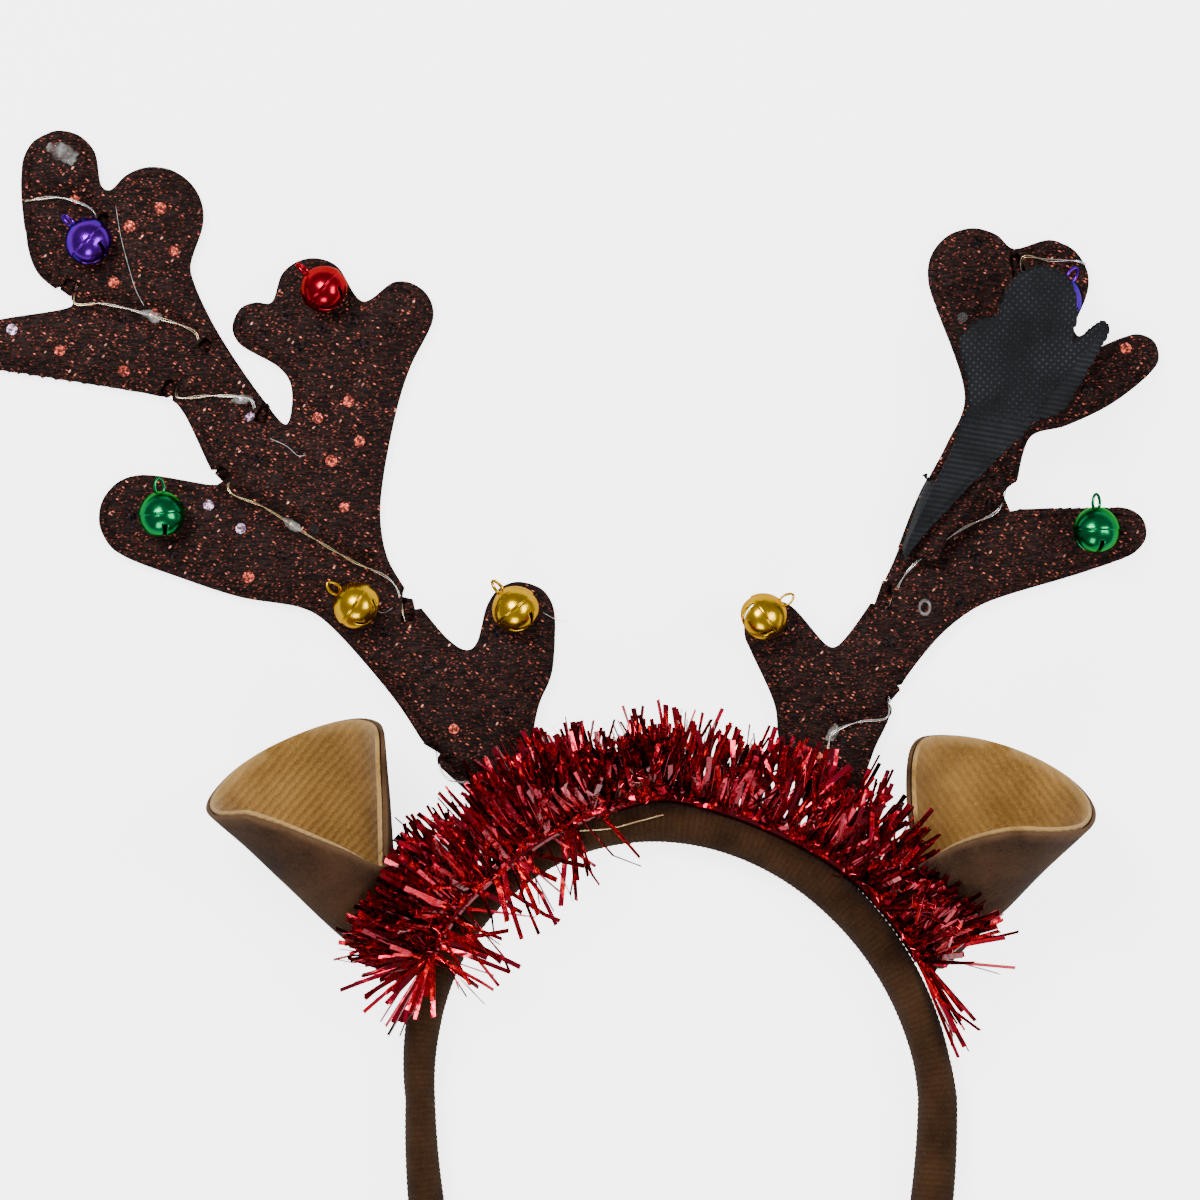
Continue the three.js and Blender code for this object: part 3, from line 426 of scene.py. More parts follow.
def makeFilm():
    material, tree, shader = addMaterial("tinselFilm", {"Metallic": 1.0, "Coat Weight": 0.45,
                                                        "Coat Roughness": 0.04})
    tone = attribute(tree, "stripTone")
    colour = mixOver(tree, tone, (0.22, 0.0005, 0.011), (0.95, 0.006, 0.060))
    tree.links.new(colour, shader.inputs["Base Color"])
    rough = addNode(tree, "MapRange", {"Value": tone, "To Min": 0.12, "To Max": 0.24})
    tree.links.new(rough.outputs[0], shader.inputs["Roughness"])
    crease = addNode(tree, "TexNoise", {"Vector": objectPlace(tree), "Scale": 380.0, "Detail": 1.0})
    addBump(tree, shader, crease.outputs[0], 0.0006, 0.45)
    return material


def makeLacquer(name, dark, bright):
    edgeTint = [min(1, 0.04 + 0.9 * part / max(bright)) for part in bright]
    material, tree, shader = addMaterial(name, {"Metallic": 1.0, "Roughness": 0.24, "Coat Weight": 0.08,
                                                "Coat Roughness": 0.08, "Specular Tint": (*edgeTint, 1)})
    # dark and bright are the bell's shaded and lit colours, mixed in noise patches: painted shade and painted
    # highlight
    litAndShadedPatches = addNode(tree, "TexNoise", {"Vector": objectPlace(tree), "Scale": 260.0, "Detail": 3.0})
    tree.links.new(mixOver(tree, litAndShadedPatches.outputs[0], dark, bright), shader.inputs["Base Color"])
    addBump(tree, shader, litAndShadedPatches.outputs[0], 0.0004, 0.3)
    return material


def makeWireMetal():
    material, tree, shader = addMaterial("lacqueredWire", {"Metallic": 1.0, "Roughness": 0.26})
    tint = addNode(tree, "TexNoise", {"Vector": objectPlace(tree), "Scale": 30.0, "Detail": 1.0})
    spread = addNode(tree, "MapRange", {"Value": tint.outputs[0], "From Min": 0.42, "From Max": 0.58})
    colour = mixOver(tree, spread.outputs[0], (0.90, 0.89, 0.87), (0.80, 0.62, 0.32))
    tree.links.new(colour, shader.inputs["Base Color"])
    return material


def makeClear(name, tint, rough, solid):
    material, tree, shader = addMaterial(name, {"Roughness": rough, "Coat Weight": 0.1})
    cloud = addNode(tree, "TexNoise", {"Vector": objectPlace(tree), "Scale": 480.0, "Detail": 1.0})
    tree.links.new(mixOver(tree, cloud.outputs[0], tint, (0.8, 0.8, 0.78)), shader.inputs["Base Color"])
    veil = addNode(tree, "MapRange", {"Value": cloud.outputs[0], "From Min": 0.35, "From Max": 0.7,
                                      "To Min": solid * 0.4, "To Max": solid * 1.8})
    tree.links.new(veil.outputs[0], shader.inputs["Alpha"])
    addBump(tree, shader, cloud.outputs[0], 0.0005, 0.4)
    return material


def makeSequinFilm():
    material, tree, shader = addMaterial("sequinFilm", {"Metallic": 0.7, "Coat Weight": 0.05,
                                                        "Specular IOR Level": 0.15, "Roughness": 0.36})
    where = objectPlace(tree)
    dent = addNode(tree, "TexNoise", {"Vector": where, "Scale": 1100.0, "Detail": 1.0})
    # painted shade: the film darkens where the dent noise is low, in the hollows of its crumples
    shade = addNode(tree, "MapRange", {"Value": dent.outputs[0], "From Min": 0.43, "From Max": 0.57,
                                       "To Min": 0.1, "To Max": 1.0})
    stops = [(0.0, (0.0015, 0.001, 0.001)), (0.34, (0.72, 0.115, 0.070)), (0.67, (1.0, 0.66, 0.95))]
    ramp = addNode(tree, "ValToRGB", {"Fac": attribute(tree, "discTone")})
    ramp.color_ramp.interpolation = "CONSTANT"
    for i, (place, colour) in enumerate(stops):
        stop = ramp.color_ramp.elements[i] if i < 2 else ramp.color_ramp.elements.new(place)
        stop.position = place
        stop.color = (*colour, 1)
    crumpleShade = mixOver(tree, shade.outputs[0], (0.02, 0.008, 0.008), ramp.outputs[0])
    tree.links.new(crumpleShade, shader.inputs["Base Color"])
    addBump(tree, shader, dent.outputs[0], 0.0008, 0.8)
    return material


knit = makeKnit()
glitterCloth = makeGlitterCloth()
backCloth = makeBackCloth()
felt = makeFelt()
velours = {"left": makeVelour("left", 0.72), "right": makeVelour("right", -0.62)}
film = makeFilm()
wireMetal = makeWireMetal()
clearDrop = makeClear("clearDrop", (0.22, 0.20, 0.16), 0.14, 0.16)
clearGlue = makeClear("clearGlue", (0.20, 0.19, 0.17), 0.3, 0.10)
clearThread = makeClear("clearThread", (0.45, 0.44, 0.42), 0.25, 0.5)
sequinFilm = makeSequinFilm()
lacquers = {
    "gold": makeLacquer("goldLacquer", (0.40, 0.20, 0.001), (0.80, 0.48, 0.006)),
    "green": makeLacquer("greenLacquer", (0.0006, 0.075, 0.020), (0.003, 0.27, 0.085)),
    "red": makeLacquer("redLacquer", (0.14, 0.0004, 0.006), (0.48, 0.0010, 0.022)),
    "purple": makeLacquer("purpleLacquer", (0.030, 0.0001, 0.12), (0.16, 0.0003, 0.52)),
}
print("materials made:", len(bpy.data.materials))


# Band: a ribbed knit sleeve drawn over a stiff arch

band = {
    "halfWidth": 0.0673, "rise": 0.0723, "lean": 0.0065, "legCurve": 0.125, "legReach": 0.064,
    "thick": 0.0103, "depth": 0.012, "ribPitch": 0.00145, "ribDepth": 0.0002, "endRound": 0.006,
    "sleeve": [(-31, 0.8), (-12, 1.08), (8, 0.92), (45, 1.02), (120, 1.0), (165, 0.87), (180, 0.74),
               (192, 0.9), (211, 0.8)],
    "ribSteps": 4, "around": 30,
}


def archPoint(turn):
    angle = math.radians(turn)
    rise = band["rise"] if math.sin(angle) > 0 else band["legCurve"]
    lean = band["lean"] * max(0, math.sin(angle))
    return Vector((band["halfWidth"] * math.cos(angle) - lean, rise * math.sin(angle), 0))


def besideArch(turn, out, height):
    step = (archPoint(turn + 0.5) - archPoint(turn - 0.5)).normalized()
    return archPoint(turn) + Vector((step.y * out, -step.x * out, height))


def archTurns(steps):
    # turns at even lengths along the arch, and its whole length
    legTurn = math.degrees(math.asin(band["legReach"] / band["legCurve"]))
    turns = [-legTurn + (180 + 2 * legTurn) * i / 2400 for i in range(2401)]
    walked = [0.0]
    for a, b in zip(turns, turns[1:]):
        walked.append(walked[-1] + (archPoint(b) - archPoint(a)).length)
    evenTurns, at = [], 0
    for i in range(steps + 1):
        goal = walked[-1] * i / steps
        while at < len(turns) - 2 and walked[at + 1] < goal:
            at += 1
        part = (goal - walked[at]) / (walked[at + 1] - walked[at])
        evenTurns.append(turns[at] + (turns[at + 1] - turns[at]) * min(1, part))
    return evenTurns, walked[-1]


def makeBand():
    total = archTurns(1)[1]
    steps = round(total / band["ribPitch"]) * band["ribSteps"]
    turns = archTurns(steps)[0]

    def ridge(u):
        wave = 0.5 + 0.5 * math.cos(math.tau * round(u * steps) / band["ribSteps"])
        return wave * (0.7 + 0.3 * noise.noise(Vector((u * 300, 0, 0))))

    def place(u, v):
        turn = turns[round(u * steps)]
        angle = math.tau * v
        endGap = min(u, 1 - u) * total / band["endRound"]
        close = 1 if endGap > 1 else max(0.02, 1 - (1 - endGap) ** 2) ** 0.5
        rib = band["ribDepth"] * ridge(u)
        thick = band["thick"] * between(band["sleeve"], turn) / 2
        side = math.copysign(abs(math.cos(angle)) ** 0.9, math.cos(angle))
        tall = math.copysign(abs(math.sin(angle)) ** 0.9, math.sin(angle))
        sag = noise.noise(Vector((turn * 0.22, v * 3, 1))) * 0.00045
        spot = besideArch(turn, side * (thick + rib) * close, 0)
        height = band["depth"] / 2 + tall * (band["depth"] / 2 + rib + sag - 0.0003) * close
        return Vector((spot.x, spot.y, max(height, 0.0002)))

    bm = bmesh.new()
    bmesh.ops.create_grid(bm, x_segments=steps, y_segments=band["around"], size=0.5)
    tone = bm.verts.layers.float.new("ribValleyShade")
    for vert in bm.verts:
        u, v = vert.co.x + 0.5, vert.co.y + 0.5
        # painted shade for the knit, darkest in the valleys between ribs
        vert[tone] = 0.55 + 0.45 * ridge(u)
        vert.co = place(u, v)
    bmesh.ops.remove_doubles(bm, verts=bm.verts, dist=1e-7)
    bmesh.ops.holes_fill(bm, edges=[e for e in bm.edges if e.is_boundary], sides=0)
    bmesh.ops.recalc_face_normals(bm, faces=bm.faces)
    low = Vector(map(min, *(v.co for v in bm.verts)))
    high = Vector(map(max, *(v.co for v in bm.verts)))
    cadLow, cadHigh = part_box("band")
    move = (cadLow + cadHigh - low - high) / 2
    move.z = 0
    bmesh.ops.translate(bm, verts=bm.verts, vec=move)
    piece = addPiece(bm, "bandSleeve", knit, ["band"])
    return move


archOrigin = makeBand()
print("band made, arch origin at", [round(c, 5) for c in archOrigin])


# Antlers: padded glitter cloth in front, black cloth behind

antler = {
    "height": 0.189, "turns": {"left": 122, "right": 47}, "senses": {"left": -1, "right": 1},
    "padTop": 0.005, "padBase": 0.0013, "voxel": 0.0011, "shrink": 0.00015, "pressure": 4.0, "mass": 0.0004,
    "frames": 20, "cap": 0.0009, "rimLost": 0.0010, "rimReach": 0.0032, "seamInset": 0.0017,
    "seamWide": 0.00042, "seamDeep": 0.00045, "pinchWide": 0.0028, "pinchDeep": 0.0015,
    "rippleWide": 0.006, "rippleDeep": 0.00055, "pucker": 0.00022, "dent": 0.0005, "backVoxel": 0.0007,
    "ridgeStart": (0.135, 0.505), "ridgeEnd": (0.335, 0.745), "ridgeRise": 0.0006, "ribbedTo": 0.66,
    "overlap": 0.0013, "foldTop": 0.575, "foldEdge": (0.086, 0.41, 0.472),
    "taper": [(0.472, 0.25), (0.499, 0.45), (0.545, 0.72), (0.628, 1.0)],
}
wire = {
    "back": 0.00095, "front": 0.0049, "strand": 0.00014, "apart": 0.00018, "twist": 0.016, "tighten": 0.75,
    "leftRoute": [
        (0.69, 0.913, 0.5), (0.677, 0.914, 1), (0.636, 0.918, 1), (0.589, 0.899, 1), (0.573, 0.894, 0.5),
        (0.594, 0.836, 0), (0.633, 0.78, 0.5), (0.614, 0.772, 1), (0.578, 0.772, 1), (0.509, 0.755, 1),
        (0.447, 0.73, 1), (0.43, 0.721, 0.5), (0.457, 0.682, 0), (0.492, 0.647, 0.5), (0.473, 0.643, 1),
        (0.426, 0.645, 1), (0.371, 0.638, 1), (0.353, 0.627, 0.5), (0.378, 0.572, 0), (0.421, 0.526, 0.5),
        (0.402, 0.514, 1), (0.355, 0.492, 1), (0.303, 0.459, 1), (0.234, 0.418, 1), (0.176, 0.387, 1),
        (0.157, 0.372, 0.5), (0.149, 0.267, 0), (0.118, 0.175, 0), (0.128, 0.127, 0.5), (0.1, 0.116, 1),
        (0.067, 0.112, 1)],
    "rightRoute": [
        (0.353, 0.868, 0.5), (0.33, 0.875, 1), (0.292, 0.876, 1), (0.257, 0.88, 1), (0.243, 0.888, 0.5),
        (0.262, 0.8, 0), (0.25, 0.69, 0), (0.233, 0.59, 0), (0.244, 0.532, 0.5), (0.22, 0.53, 1),
        (0.176, 0.508, 1), (0.132, 0.478, 1), (0.098, 0.448, 1), (0.07, 0.43, 0.5), (0.06, 0.36, 0),
        (0.062, 0.3, 0), (0.094, 0.25, 0.5), (0.068, 0.246, 1), (0.03, 0.24, 1), (-0.007, 0.223, 1),
        (-0.013, 0.2, 1)],
    "leftDrops": [(0.509, 0.755, -0.35), (0.385, 0.64, 0.1), (0.316, 0.467, -0.6)],
    "rightDrops": [(-0.007, 0.223, 1.1)],
    "dropLong": 0.0052, "dropWide": 0.0026, "dropCentre": 0.0064,
}


def antlerPoint(side, out, up, height=0.0):
    foot = archPoint(antler["turns"][side]) + archOrigin
    reach = antler["height"]
    return foot + Vector((antler["senses"][side] * out * reach, up * reach, height))


def wirePath(side):
    rise = wire["front"] - wire["back"]
    points = [antlerPoint(side, out, up, wire["back"] + rise * lift) for out, up, lift in wire[side + "Route"]]
    tight = [point.copy() for point in points]
    for i, (_, _, lift) in enumerate(wire[side + "Route"]):
        if lift == 0.5:  # drawn tight round the edge of the cloth
            middle = (points[max(0, i - 1)] + points[min(len(points) - 1, i + 1)]) / 2
            tight[i].xy = points[i].lerp(middle, wire["tighten"]).xy
    return smoothPath(tight, 14)


def rimPoints(bm):
    # points along the seam, where the flat underside meets the padded front, as smooth curves
    bm.normal_update()
    links = {}
    for edge in bm.edges:
        if len(edge.link_faces) != 2 or abs(edge.verts[0].co.z - antler["padBase"]) > 1e-5:
            continue
        tilts = sorted(face.normal.z for face in edge.link_faces)
        if tilts[0] < -0.98 and tilts[1] > 0.05:
            for a, b in (edge.verts, reversed(edge.verts)):
                links.setdefault(a, []).append(b)
    found = []
    while links:
        at = next((vert for vert in links if len(links[vert]) == 1), next(iter(links)))
        start, chain = at, []
        while at is not None:
            chain.append(at.co.copy())
            nearby = links.pop(at)
            closing = start in nearby and len(chain) > 2
            at = next((vert for vert in nearby if vert in links), None)
        if closing:
            chain += [chain[0], chain[1], chain[2]]
        if len(chain) > 2:
            found += smoothPath(chain, 16)
    return found


def swell(piece, carried):
    # air pressure fills the cloth; what lies on the backing is held
    held = piece.vertex_groups.new(name="held")
    start = [vert.co.copy() for vert in piece.data.vertices]
    held.add([i for i, co in enumerate(start) if carried.find_nearest(co)[3] < 0.0009], 1.0, "REPLACE")
    cloth = piece.modifiers.new("cloth", "CLOTH")
    settings = cloth.settings
    settings.quality = 4
    settings.mass = antler["mass"]
    settings.use_pressure = True
    settings.uniform_pressure_force = antler["pressure"]
    settings.tension_stiffness = settings.compression_stiffness = 6
    settings.bending_stiffness = 0.05
    settings.effector_weights.gravity = 0
    settings.vertex_group_mass = "held"
    cloth.point_cache.frame_start = 1
    cloth.point_cache.frame_end = antler["frames"]
    for number in range(1, antler["frames"] + 1):
        bpy.context.scene.frame_set(number)
    applyModifiers(piece)
    furthest = 0
    for vert, co in zip(piece.data.vertices, start):
        move = vert.co - co
        furthest = max(furthest, move.length)
        if move.length > antler["cap"]:
            vert.co = co + move.normalized() * antler["cap"]
    print(piece.name, "swelled by up to", round(furthest * 1000, 3), "mm")
    bpy.context.scene.frame_set(1)


def restoreRim(piece, rim, rimTree):
    # the remeshed cloth ends short of the seam, so its edge is drawn out to it
    for vert in piece.data.vertices:
        if vert.co.z > antler["padTop"]:
            continue
        _, index, inset = rimTree.find((vert.co.x, vert.co.y, 0))
        if inset >= antler["rimReach"]:
            continue
        kept = max(0.05 * inset, (inset - antler["rimLost"]) / (1 - antler["rimLost"] / antler["rimReach"]))
        pull = inset - kept
        toward = Vector((rim[index].x - vert.co.x, rim[index].y - vert.co.y, 0))
        if toward.length > 1e-6:
            vert.co += toward.normalized() * pull


def pressSeams(piece, rimTree, path):
    # the stitched line inside the rim, the pinch under each wire, and the puckers beside it
    tight = [p for p in path if p.z > (wire["front"] + wire["back"]) / 2]
    walked = [0.0]
    for a, b in zip(tight, tight[1:]):
        walked.append(walked[-1] + (b - a).length)
    wireTree = flatTree(tight)
    normals = [vert.normal.copy() for vert in piece.data.vertices]
    for vert, normal in zip(piece.data.vertices, normals):
        co = vert.co.copy()
        dent = noise.noise(co * 130 + Vector((5, 0, 0))) * antler["dent"]
        sink = 0.0
        if normal.z > 0.15 and co.z < antler["padTop"] + 0.0025:
            inset = rimTree.find((co.x, co.y, 0))[2]
            inside = min(1, inset / 0.003)
            sink += antler["seamDeep"] * bell01(inset - antler["seamInset"], antler["seamWide"])
            _, index, near = wireTree.find((co.x, co.y, 0))
            sink += antler["pinchDeep"] * bell01(near, antler["pinchWide"]) * inside
            ripple = noise.noise(Vector((walked[index] * 420, near * 60, 3)))
            sink += ripple * antler["rippleDeep"] * bell01(near, antler["rippleWide"]) * inside
            sink += (noise.noise(co * 420) * antler["pucker"] + dent) * inside
            vert.co = co - normal * max(-0.0005, sink)
            if near < wire["strand"] * 6 and inset > 0.001:
                vert.co.z = min(vert.co.z, wire["front"] - wire["strand"] * 3)


def makePad(side):
    name = side + "_antler_pad"
    bm = copyOfNode(name)
    rim = rimPoints(bm)
    rimTree = flatTree(rim)
    piece = addPiece(bm, side + "AntlerCloth", glitterCloth, [name])
    remeshed(piece, antler["voxel"])
    for vert, normal in [(v, v.normal.copy()) for v in piece.data.vertices]:
        vert.co -= normal * antler["shrink"]
    backing = copyOfNode(side + "_antler_backing")
    carried = BVHTree.FromBMesh(backing)
    backing.free()
    swell(piece, carried)
    subdivided(piece, 1)
    restoreRim(piece, rim, rimTree)
    pressSeams(piece, rimTree, wirePath(side))
    piece.data.shade_smooth()
    return piece, rim, rimTree


def makeBacking(side, pad, rim, rimTree):
    # the flat back keeps under its pad; the folded beam's back gets a long ridge, and ribs where it is narrow
    name = side + "_antler_backing"
    piece = addPiece(copyOfNode(name), side + "AntlerBack", backCloth, [name])
    remeshed(piece, antler["backVoxel"])
    bm = bmesh.new()
    bm.from_mesh(piece.data)
    for _ in range(4):
        bmesh.ops.smooth_vert(bm, verts=bm.verts, factor=0.5, use_axis_x=True, use_axis_y=True, use_axis_z=True)
    ribbed = bm.verts.layers.float.new("ribbed")
    start, end = antlerPoint(side, *antler["ridgeStart"]), antlerPoint(side, *antler["ridgeEnd"])
    run = (end - start).normalized()
    foot = antlerPoint(side, 0, 0)
    cover = BVHTree.FromPolygons([v.co for v in pad.data.vertices], [p.vertices for p in pad.data.polygons])
    for vert in bm.verts:
        if vert.co.z < antler["padTop"] and cover.ray_cast(vert.co, Vector((0, 0, 1)))[0] is None:
            seam = rim[rimTree.find((vert.co.x, vert.co.y, 0))[1]]
            inward = Vector((seam.x - vert.co.x, seam.y - vert.co.y, 0))
            if inward.length < 0.003:
                vert.co.xy = (seam + inward.normalized() * 0.0003).xy
        beyond = (vert.co - start).cross(run).z
        edge = max(0.0, min(1.0, 0.5 + beyond / 0.0012))
        lengthwise = (vert.co - start).dot(run)
        out, up = (vert.co.x - foot.x) / antler["height"], (vert.co.y - foot.y) / antler["height"]
        vert[ribbed] = 1.0 if beyond > 0 else max(0.0, min(1.0, (antler["ribbedTo"] - up) / 0.03 + 0.5))
        if vert.co.z > antler["padTop"]:
            vert.co.xy += vert.normal.xy * antler["overlap"] * (1 if up > antler["foldTop"] else -0.3)
            edgeOut = antler["foldEdge"][0] + antler["foldEdge"][1] * (up - antler["foldEdge"][2])
            if up < antler["taper"][-1][0] and out > edgeOut:
                slimmer = edgeOut + (out - edgeOut) * between(antler["taper"], up)
                vert.co.x = foot.x + slimmer * antler["height"]
            vert.co.z += noise.noise(vert.co * 60) * 0.0006
            if lengthwise > 0:
                vert.co.z += edge * antler["ridgeRise"] - bell01(beyond, 0.0006) * 0.0003
    bm.normal_update()
    piece.data.materials.append(glitterCloth)
    for face in bm.faces:  # the front's cloth is turned in round the edge, where the notches show it
        if face.calc_center_median().z < antler["padTop"] and face.normal.z > -0.5:
            face.material_index = 1
    bm.to_mesh(piece.data)
    bm.free()
    piece.data.shade_smooth()
    return piece


# Sequins: film discs lying on the cloth, at chosen places on the left and loosely scattered elsewhere

sequins = {
    "radius": 0.00155, "thick": 0.00012, "sides": 9, "apart": 0.012, "tries": 420, "inset": 0.003, "most": 17,
    "left": {
        0.1: [(0.547, 0.75), (0.324, 0.754), (0.275, 0.735), (0.231, 0.75), (0.218, 0.717), (0.306, 0.713),
              (0.359, 0.729), (0.178, 0.736), (0.363, 0.559), (0.414, 0.581), (0.33, 0.423), (0.284, 0.462)],
        0.5: [(0.496, 0.903), (0.539, 0.878), (0.478, 0.844), (0.561, 0.801), (0.635, 0.707), (0.261, 0.555),
              (0.28, 0.614), (0.237, 0.637), (0.222, 0.582), (0.243, 0.491), (0.375, 0.395), (0.503, 0.758)],
        0.9: [(0.701, 0.736), (0.374, 0.617), (0.43, 0.494), (0.386, 0.462), (0.548, 0.929)],
    },
    "right": {},
}


def sequinSpots(side, carrier, rimTree, rng):
    low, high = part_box(side + "_antler_pad")
    wanted = [(antlerPoint(side, *spot), tone) for tone, spots in sequins[side].items() for spot in spots]
    chosen = len(wanted)
    for _ in range(sequins["tries"]):
        spot = Vector((rng.uniform(low.x, high.x), rng.uniform(low.y, high.y), 0))
        wanted.append((spot, rng.choice((0.1, 0.1, 0.5))))
    found = []
    for i, (spot, tone) in enumerate(wanted):
        hit, normal, _, _ = carrier.ray_cast(Vector((spot.x, spot.y, high.z + 0.01)), Vector((0, 0, -1)))
        if hit is None or hit.z > antler["padTop"] + 0.0015 or normal.z < 0.8:
            continue
        if i >= chosen:
            crowded = any((hit - other).length < sequins["apart"] for other, _, _ in found)
            atRim = rimTree.find((hit.x, hit.y, 0))[2] < sequins["inset"]
            if crowded or atRim or len(found) >= chosen + sequins["most"]:
                continue
        found.append((hit, normal, tone))
    return found


def makeSequins(side, pad, rimTree, seed):
    rng = random.Random(seed)
    carrier = BVHTree.FromPolygons([v.co for v in pad.data.vertices], [p.vertices for p in pad.data.polygons])
    spots = sequinSpots(side, carrier, rimTree, rng)
    bm = bmesh.new()
    tone = bm.verts.layers.float.new("discTone")
    for hit, normal, shade in spots:
        tilt = (normal + Vector((rng.uniform(-0.1, 0.1), rng.uniform(-0.1, 0.1), 0))).normalized()
        turned = tilt.to_track_quat("Z", "Y").to_matrix().to_4x4() @ Matrix.Rotation(rng.uniform(0, 1), 4, "Z")
        size = sequins["radius"] * rng.uniform(0.9, 1.1)
        disc = bmesh.ops.create_cone(
            bm, cap_ends=True, segments=sequins["sides"], radius1=size, radius2=size * 0.95,
            depth=sequins["thick"], matrix=Matrix.Translation(hit + tilt * 0.00015) @ turned)
        for vert in disc["verts"]:
            vert[tone] = shade
    piece = addPiece(bm, side + "Sequins", sequinFilm)
    piece.data.shade_flat()
    print(piece.name, len(spots), "discs")


pads = {}
for seed, side in enumerate(("left", "right")):
    pads[side], seamPoints, seamTree = makePad(side)
    makeBacking(side, pads[side], seamPoints, seamTree)
    makeSequins(side, pads[side], seamTree, 11 + seed)
    print(side, "antler made")


# Light wires: a loosely twisted pair round each antler, with clear drops over small lights

def twistedPair(path):
    walked = 0.0
    strands = [[], []]
    for a, b in zip(path, path[1:]):
        walked += (b - a).length
        run = (b - a).normalized()
        side = run.cross(Vector((0, 0, 1))).normalized()
        up = side.cross(run)
        angle = math.tau * walked / wire["twist"] + noise.noise(b * 60)
        apart = wire["apart"] * (1 + abs(noise.noise(b * 60)))
        offset = (side * math.cos(angle) + up * math.sin(angle) * 0.6) * apart
        strands[0].append(b + offset)
        strands[1].append(b - offset)
    return strands


def clearBlob(centre, long, wide, turn, rough):
    # a drop of clear resin, fuller at one end and dented all over
    around = Matrix.Rotation(turn, 3, "Z")

    def place(u, v):
        angle, lap = math.pi * u, math.tau * v
        lean = 1 + 0.25 * math.cos(angle)
        spot = Vector((math.cos(angle) * long / 2, math.sin(angle) * math.cos(lap) * wide / 2 * lean,
                       math.sin(angle) * math.sin(lap) * wide / 2 * lean))
        return centre + around @ (spot * (1 + rough * noise.noise(spot * 900 + centre * 50)))

    return wrappedGrid(14, 20, place)


def makeLights(side):
    bm = strandMesh(twistedPair(wirePath(side)), wire["strand"])
    addPiece(bm, side + "LightWire", wireMetal, [side + "_light_wire"])
    drops, chips = [], []
    for out, up, turn in wire[side + "Drops"]:
        centre = antlerPoint(side, out, up, wire["dropCentre"])
        drops.append(clearBlob(centre, wire["dropLong"], wire["dropWide"], turn, 0.35))
        chip = bmesh.new()
        bmesh.ops.create_cube(chip, size=0.0009, matrix=Matrix.Translation(centre) @ Matrix.Rotation(turn, 4, "Z"))
        bmesh.ops.bevel(chip, geom=chip.edges, offset=0.00012, segments=2, affect="EDGES", profile=0.5, material=-1)
        chips.append(chip)
    addPiece(joined(drops), side + "LightDrops", clearDrop)
    addPiece(joined(chips), side + "LightChips", wireMetal)


for side in ("left", "right"):
    makeLights(side)
print("light wires made")


# Loose threads, glue and the garland's tie wire

extras = {
    "threadRadius": 0.00007, "tieRadius": 0.0002,
    "threads": [
        [(0.558, 0.907), (0.552, 0.87), (0.548, 0.852), (0.538, 0.815), (0.53, 0.79), (0.519, 0.769)],
        [(0.207, 0.362), (0.199, 0.35), (0.188, 0.346), (0.176, 0.353)],
        [(-0.031, 0.346), (-0.05, 0.336), (-0.066, 0.333)],
        [(0.345, 0.586), (0.322, 0.575), (0.306, 0.562), (0.296, 0.563)],
    ],
    "loops": [[(0.115, 0.13), (0.105, 0.122), (0.092, 0.116), (0.078, 0.112)]],
    "tie": [(116, 0.3), (108, 0.12), (100, -0.05), (93, 0.05), (88, 0.2)],
    "ring": (0.121, 0.398), "ringLong": 0.0018, "ringWide": 0.0014, "ringThick": 0.00035,
    "smear": (0.633, 0.98), "smearLong": 0.0085, "smearWide": 0.0042,
}


def makeExtras():
    height = antler["padTop"] + 0.0003
    paths = []
    for rows in extras["threads"]:
        paths.append(smoothPath([antlerPoint("left", out, up, height) for out, up in rows], 8))
    for rows in extras["loops"]:
        paths.append(smoothPath([antlerPoint("left", out, up, height + 0.001) for out, up in rows], 8))
    addPiece(strandMesh(paths, extras["threadRadius"]), "clearThreads", clearThread)
    tie = [besideArch(turn, band["thick"] * out, band["depth"] + 0.0004) + archOrigin for turn, out in extras["tie"]]
    addPiece(strandMesh([smoothPath(tie, 10)], extras["tieRadius"]), "garlandTie", wireMetal)
    centre = antlerPoint("right", *extras["ring"], height)

    def ring(u, v):
        angle, lap = math.tau * u, math.tau * v
        reach = 1 + 0.25 * math.cos(lap)
        return centre + Vector((math.cos(angle) * extras["ringWide"] * reach,
                                math.sin(angle) * extras["ringLong"] * reach,
                                math.sin(lap) * extras["ringThick"]))

    smear = clearBlob(antlerPoint("left", *extras["smear"], height - 0.0003), extras["smearLong"],
                      extras["smearWide"], -0.5, 0.5)
    bmesh.ops.scale(smear, verts=smear.verts, vec=(1, 1, 0.12), space=Matrix.Translation((0, 0, -height)))
    addPiece(joined([wrappedGrid(28, 10, ring, close=False), smear]), "driedGlue", clearGlue)


makeExtras()
print("threads and glue made")


# Jingle bells: two pressed halves, slots opposite a wire loop

bell = {
    "radius": 0.0062, "wall": 0.0005, "slotWide": 0.0011, "loopLong": 0.0040, "loopHalf": 0.0013,
    "loopWire": 0.00036, "loopStart": 0.84, "sides": 64, "lobes": 0.07,
    # half section from the loop's side to the slots' side, as shares of the radius: along, and out
    "section": [(0.955, 0.0), (0.94, 0.16), (0.86, 0.40), (0.66, 0.68), (0.40, 0.88), (0.14, 0.985), (0.03, 1.0),
                (0.0, 0.985), (-0.03, 0.962), (-0.12, 0.965), (-0.34, 0.94), (-0.58, 0.83), (-0.78, 0.63),
                (-0.90, 0.36), (-0.945, 0.14), (-0.95, 0.0)],
}
bells = {  # turn of the loop, roll of the slots, start of the slots as a share of the radius, roll of the loop
    "left_bell_purple": (135, 20, 0.45, 60), "left_bell_red": (137, 35, 0.45, 65),
    "left_bell_green": (95, 10, 0.45, 25), "left_bell_stem_gold": (143, 45, 0.45, 10),
    "left_bell_tine_gold": (129, 30, 0.5, 50), "right_bell_purple": (60, 20, 0.45, 30),
    "right_bell_red": (250, 45, 0.45, 30), "right_bell_green": (90, 15, 0.45, 40),
    "right_bell_tine_gold": (36, 45, 0.1, 0),
}


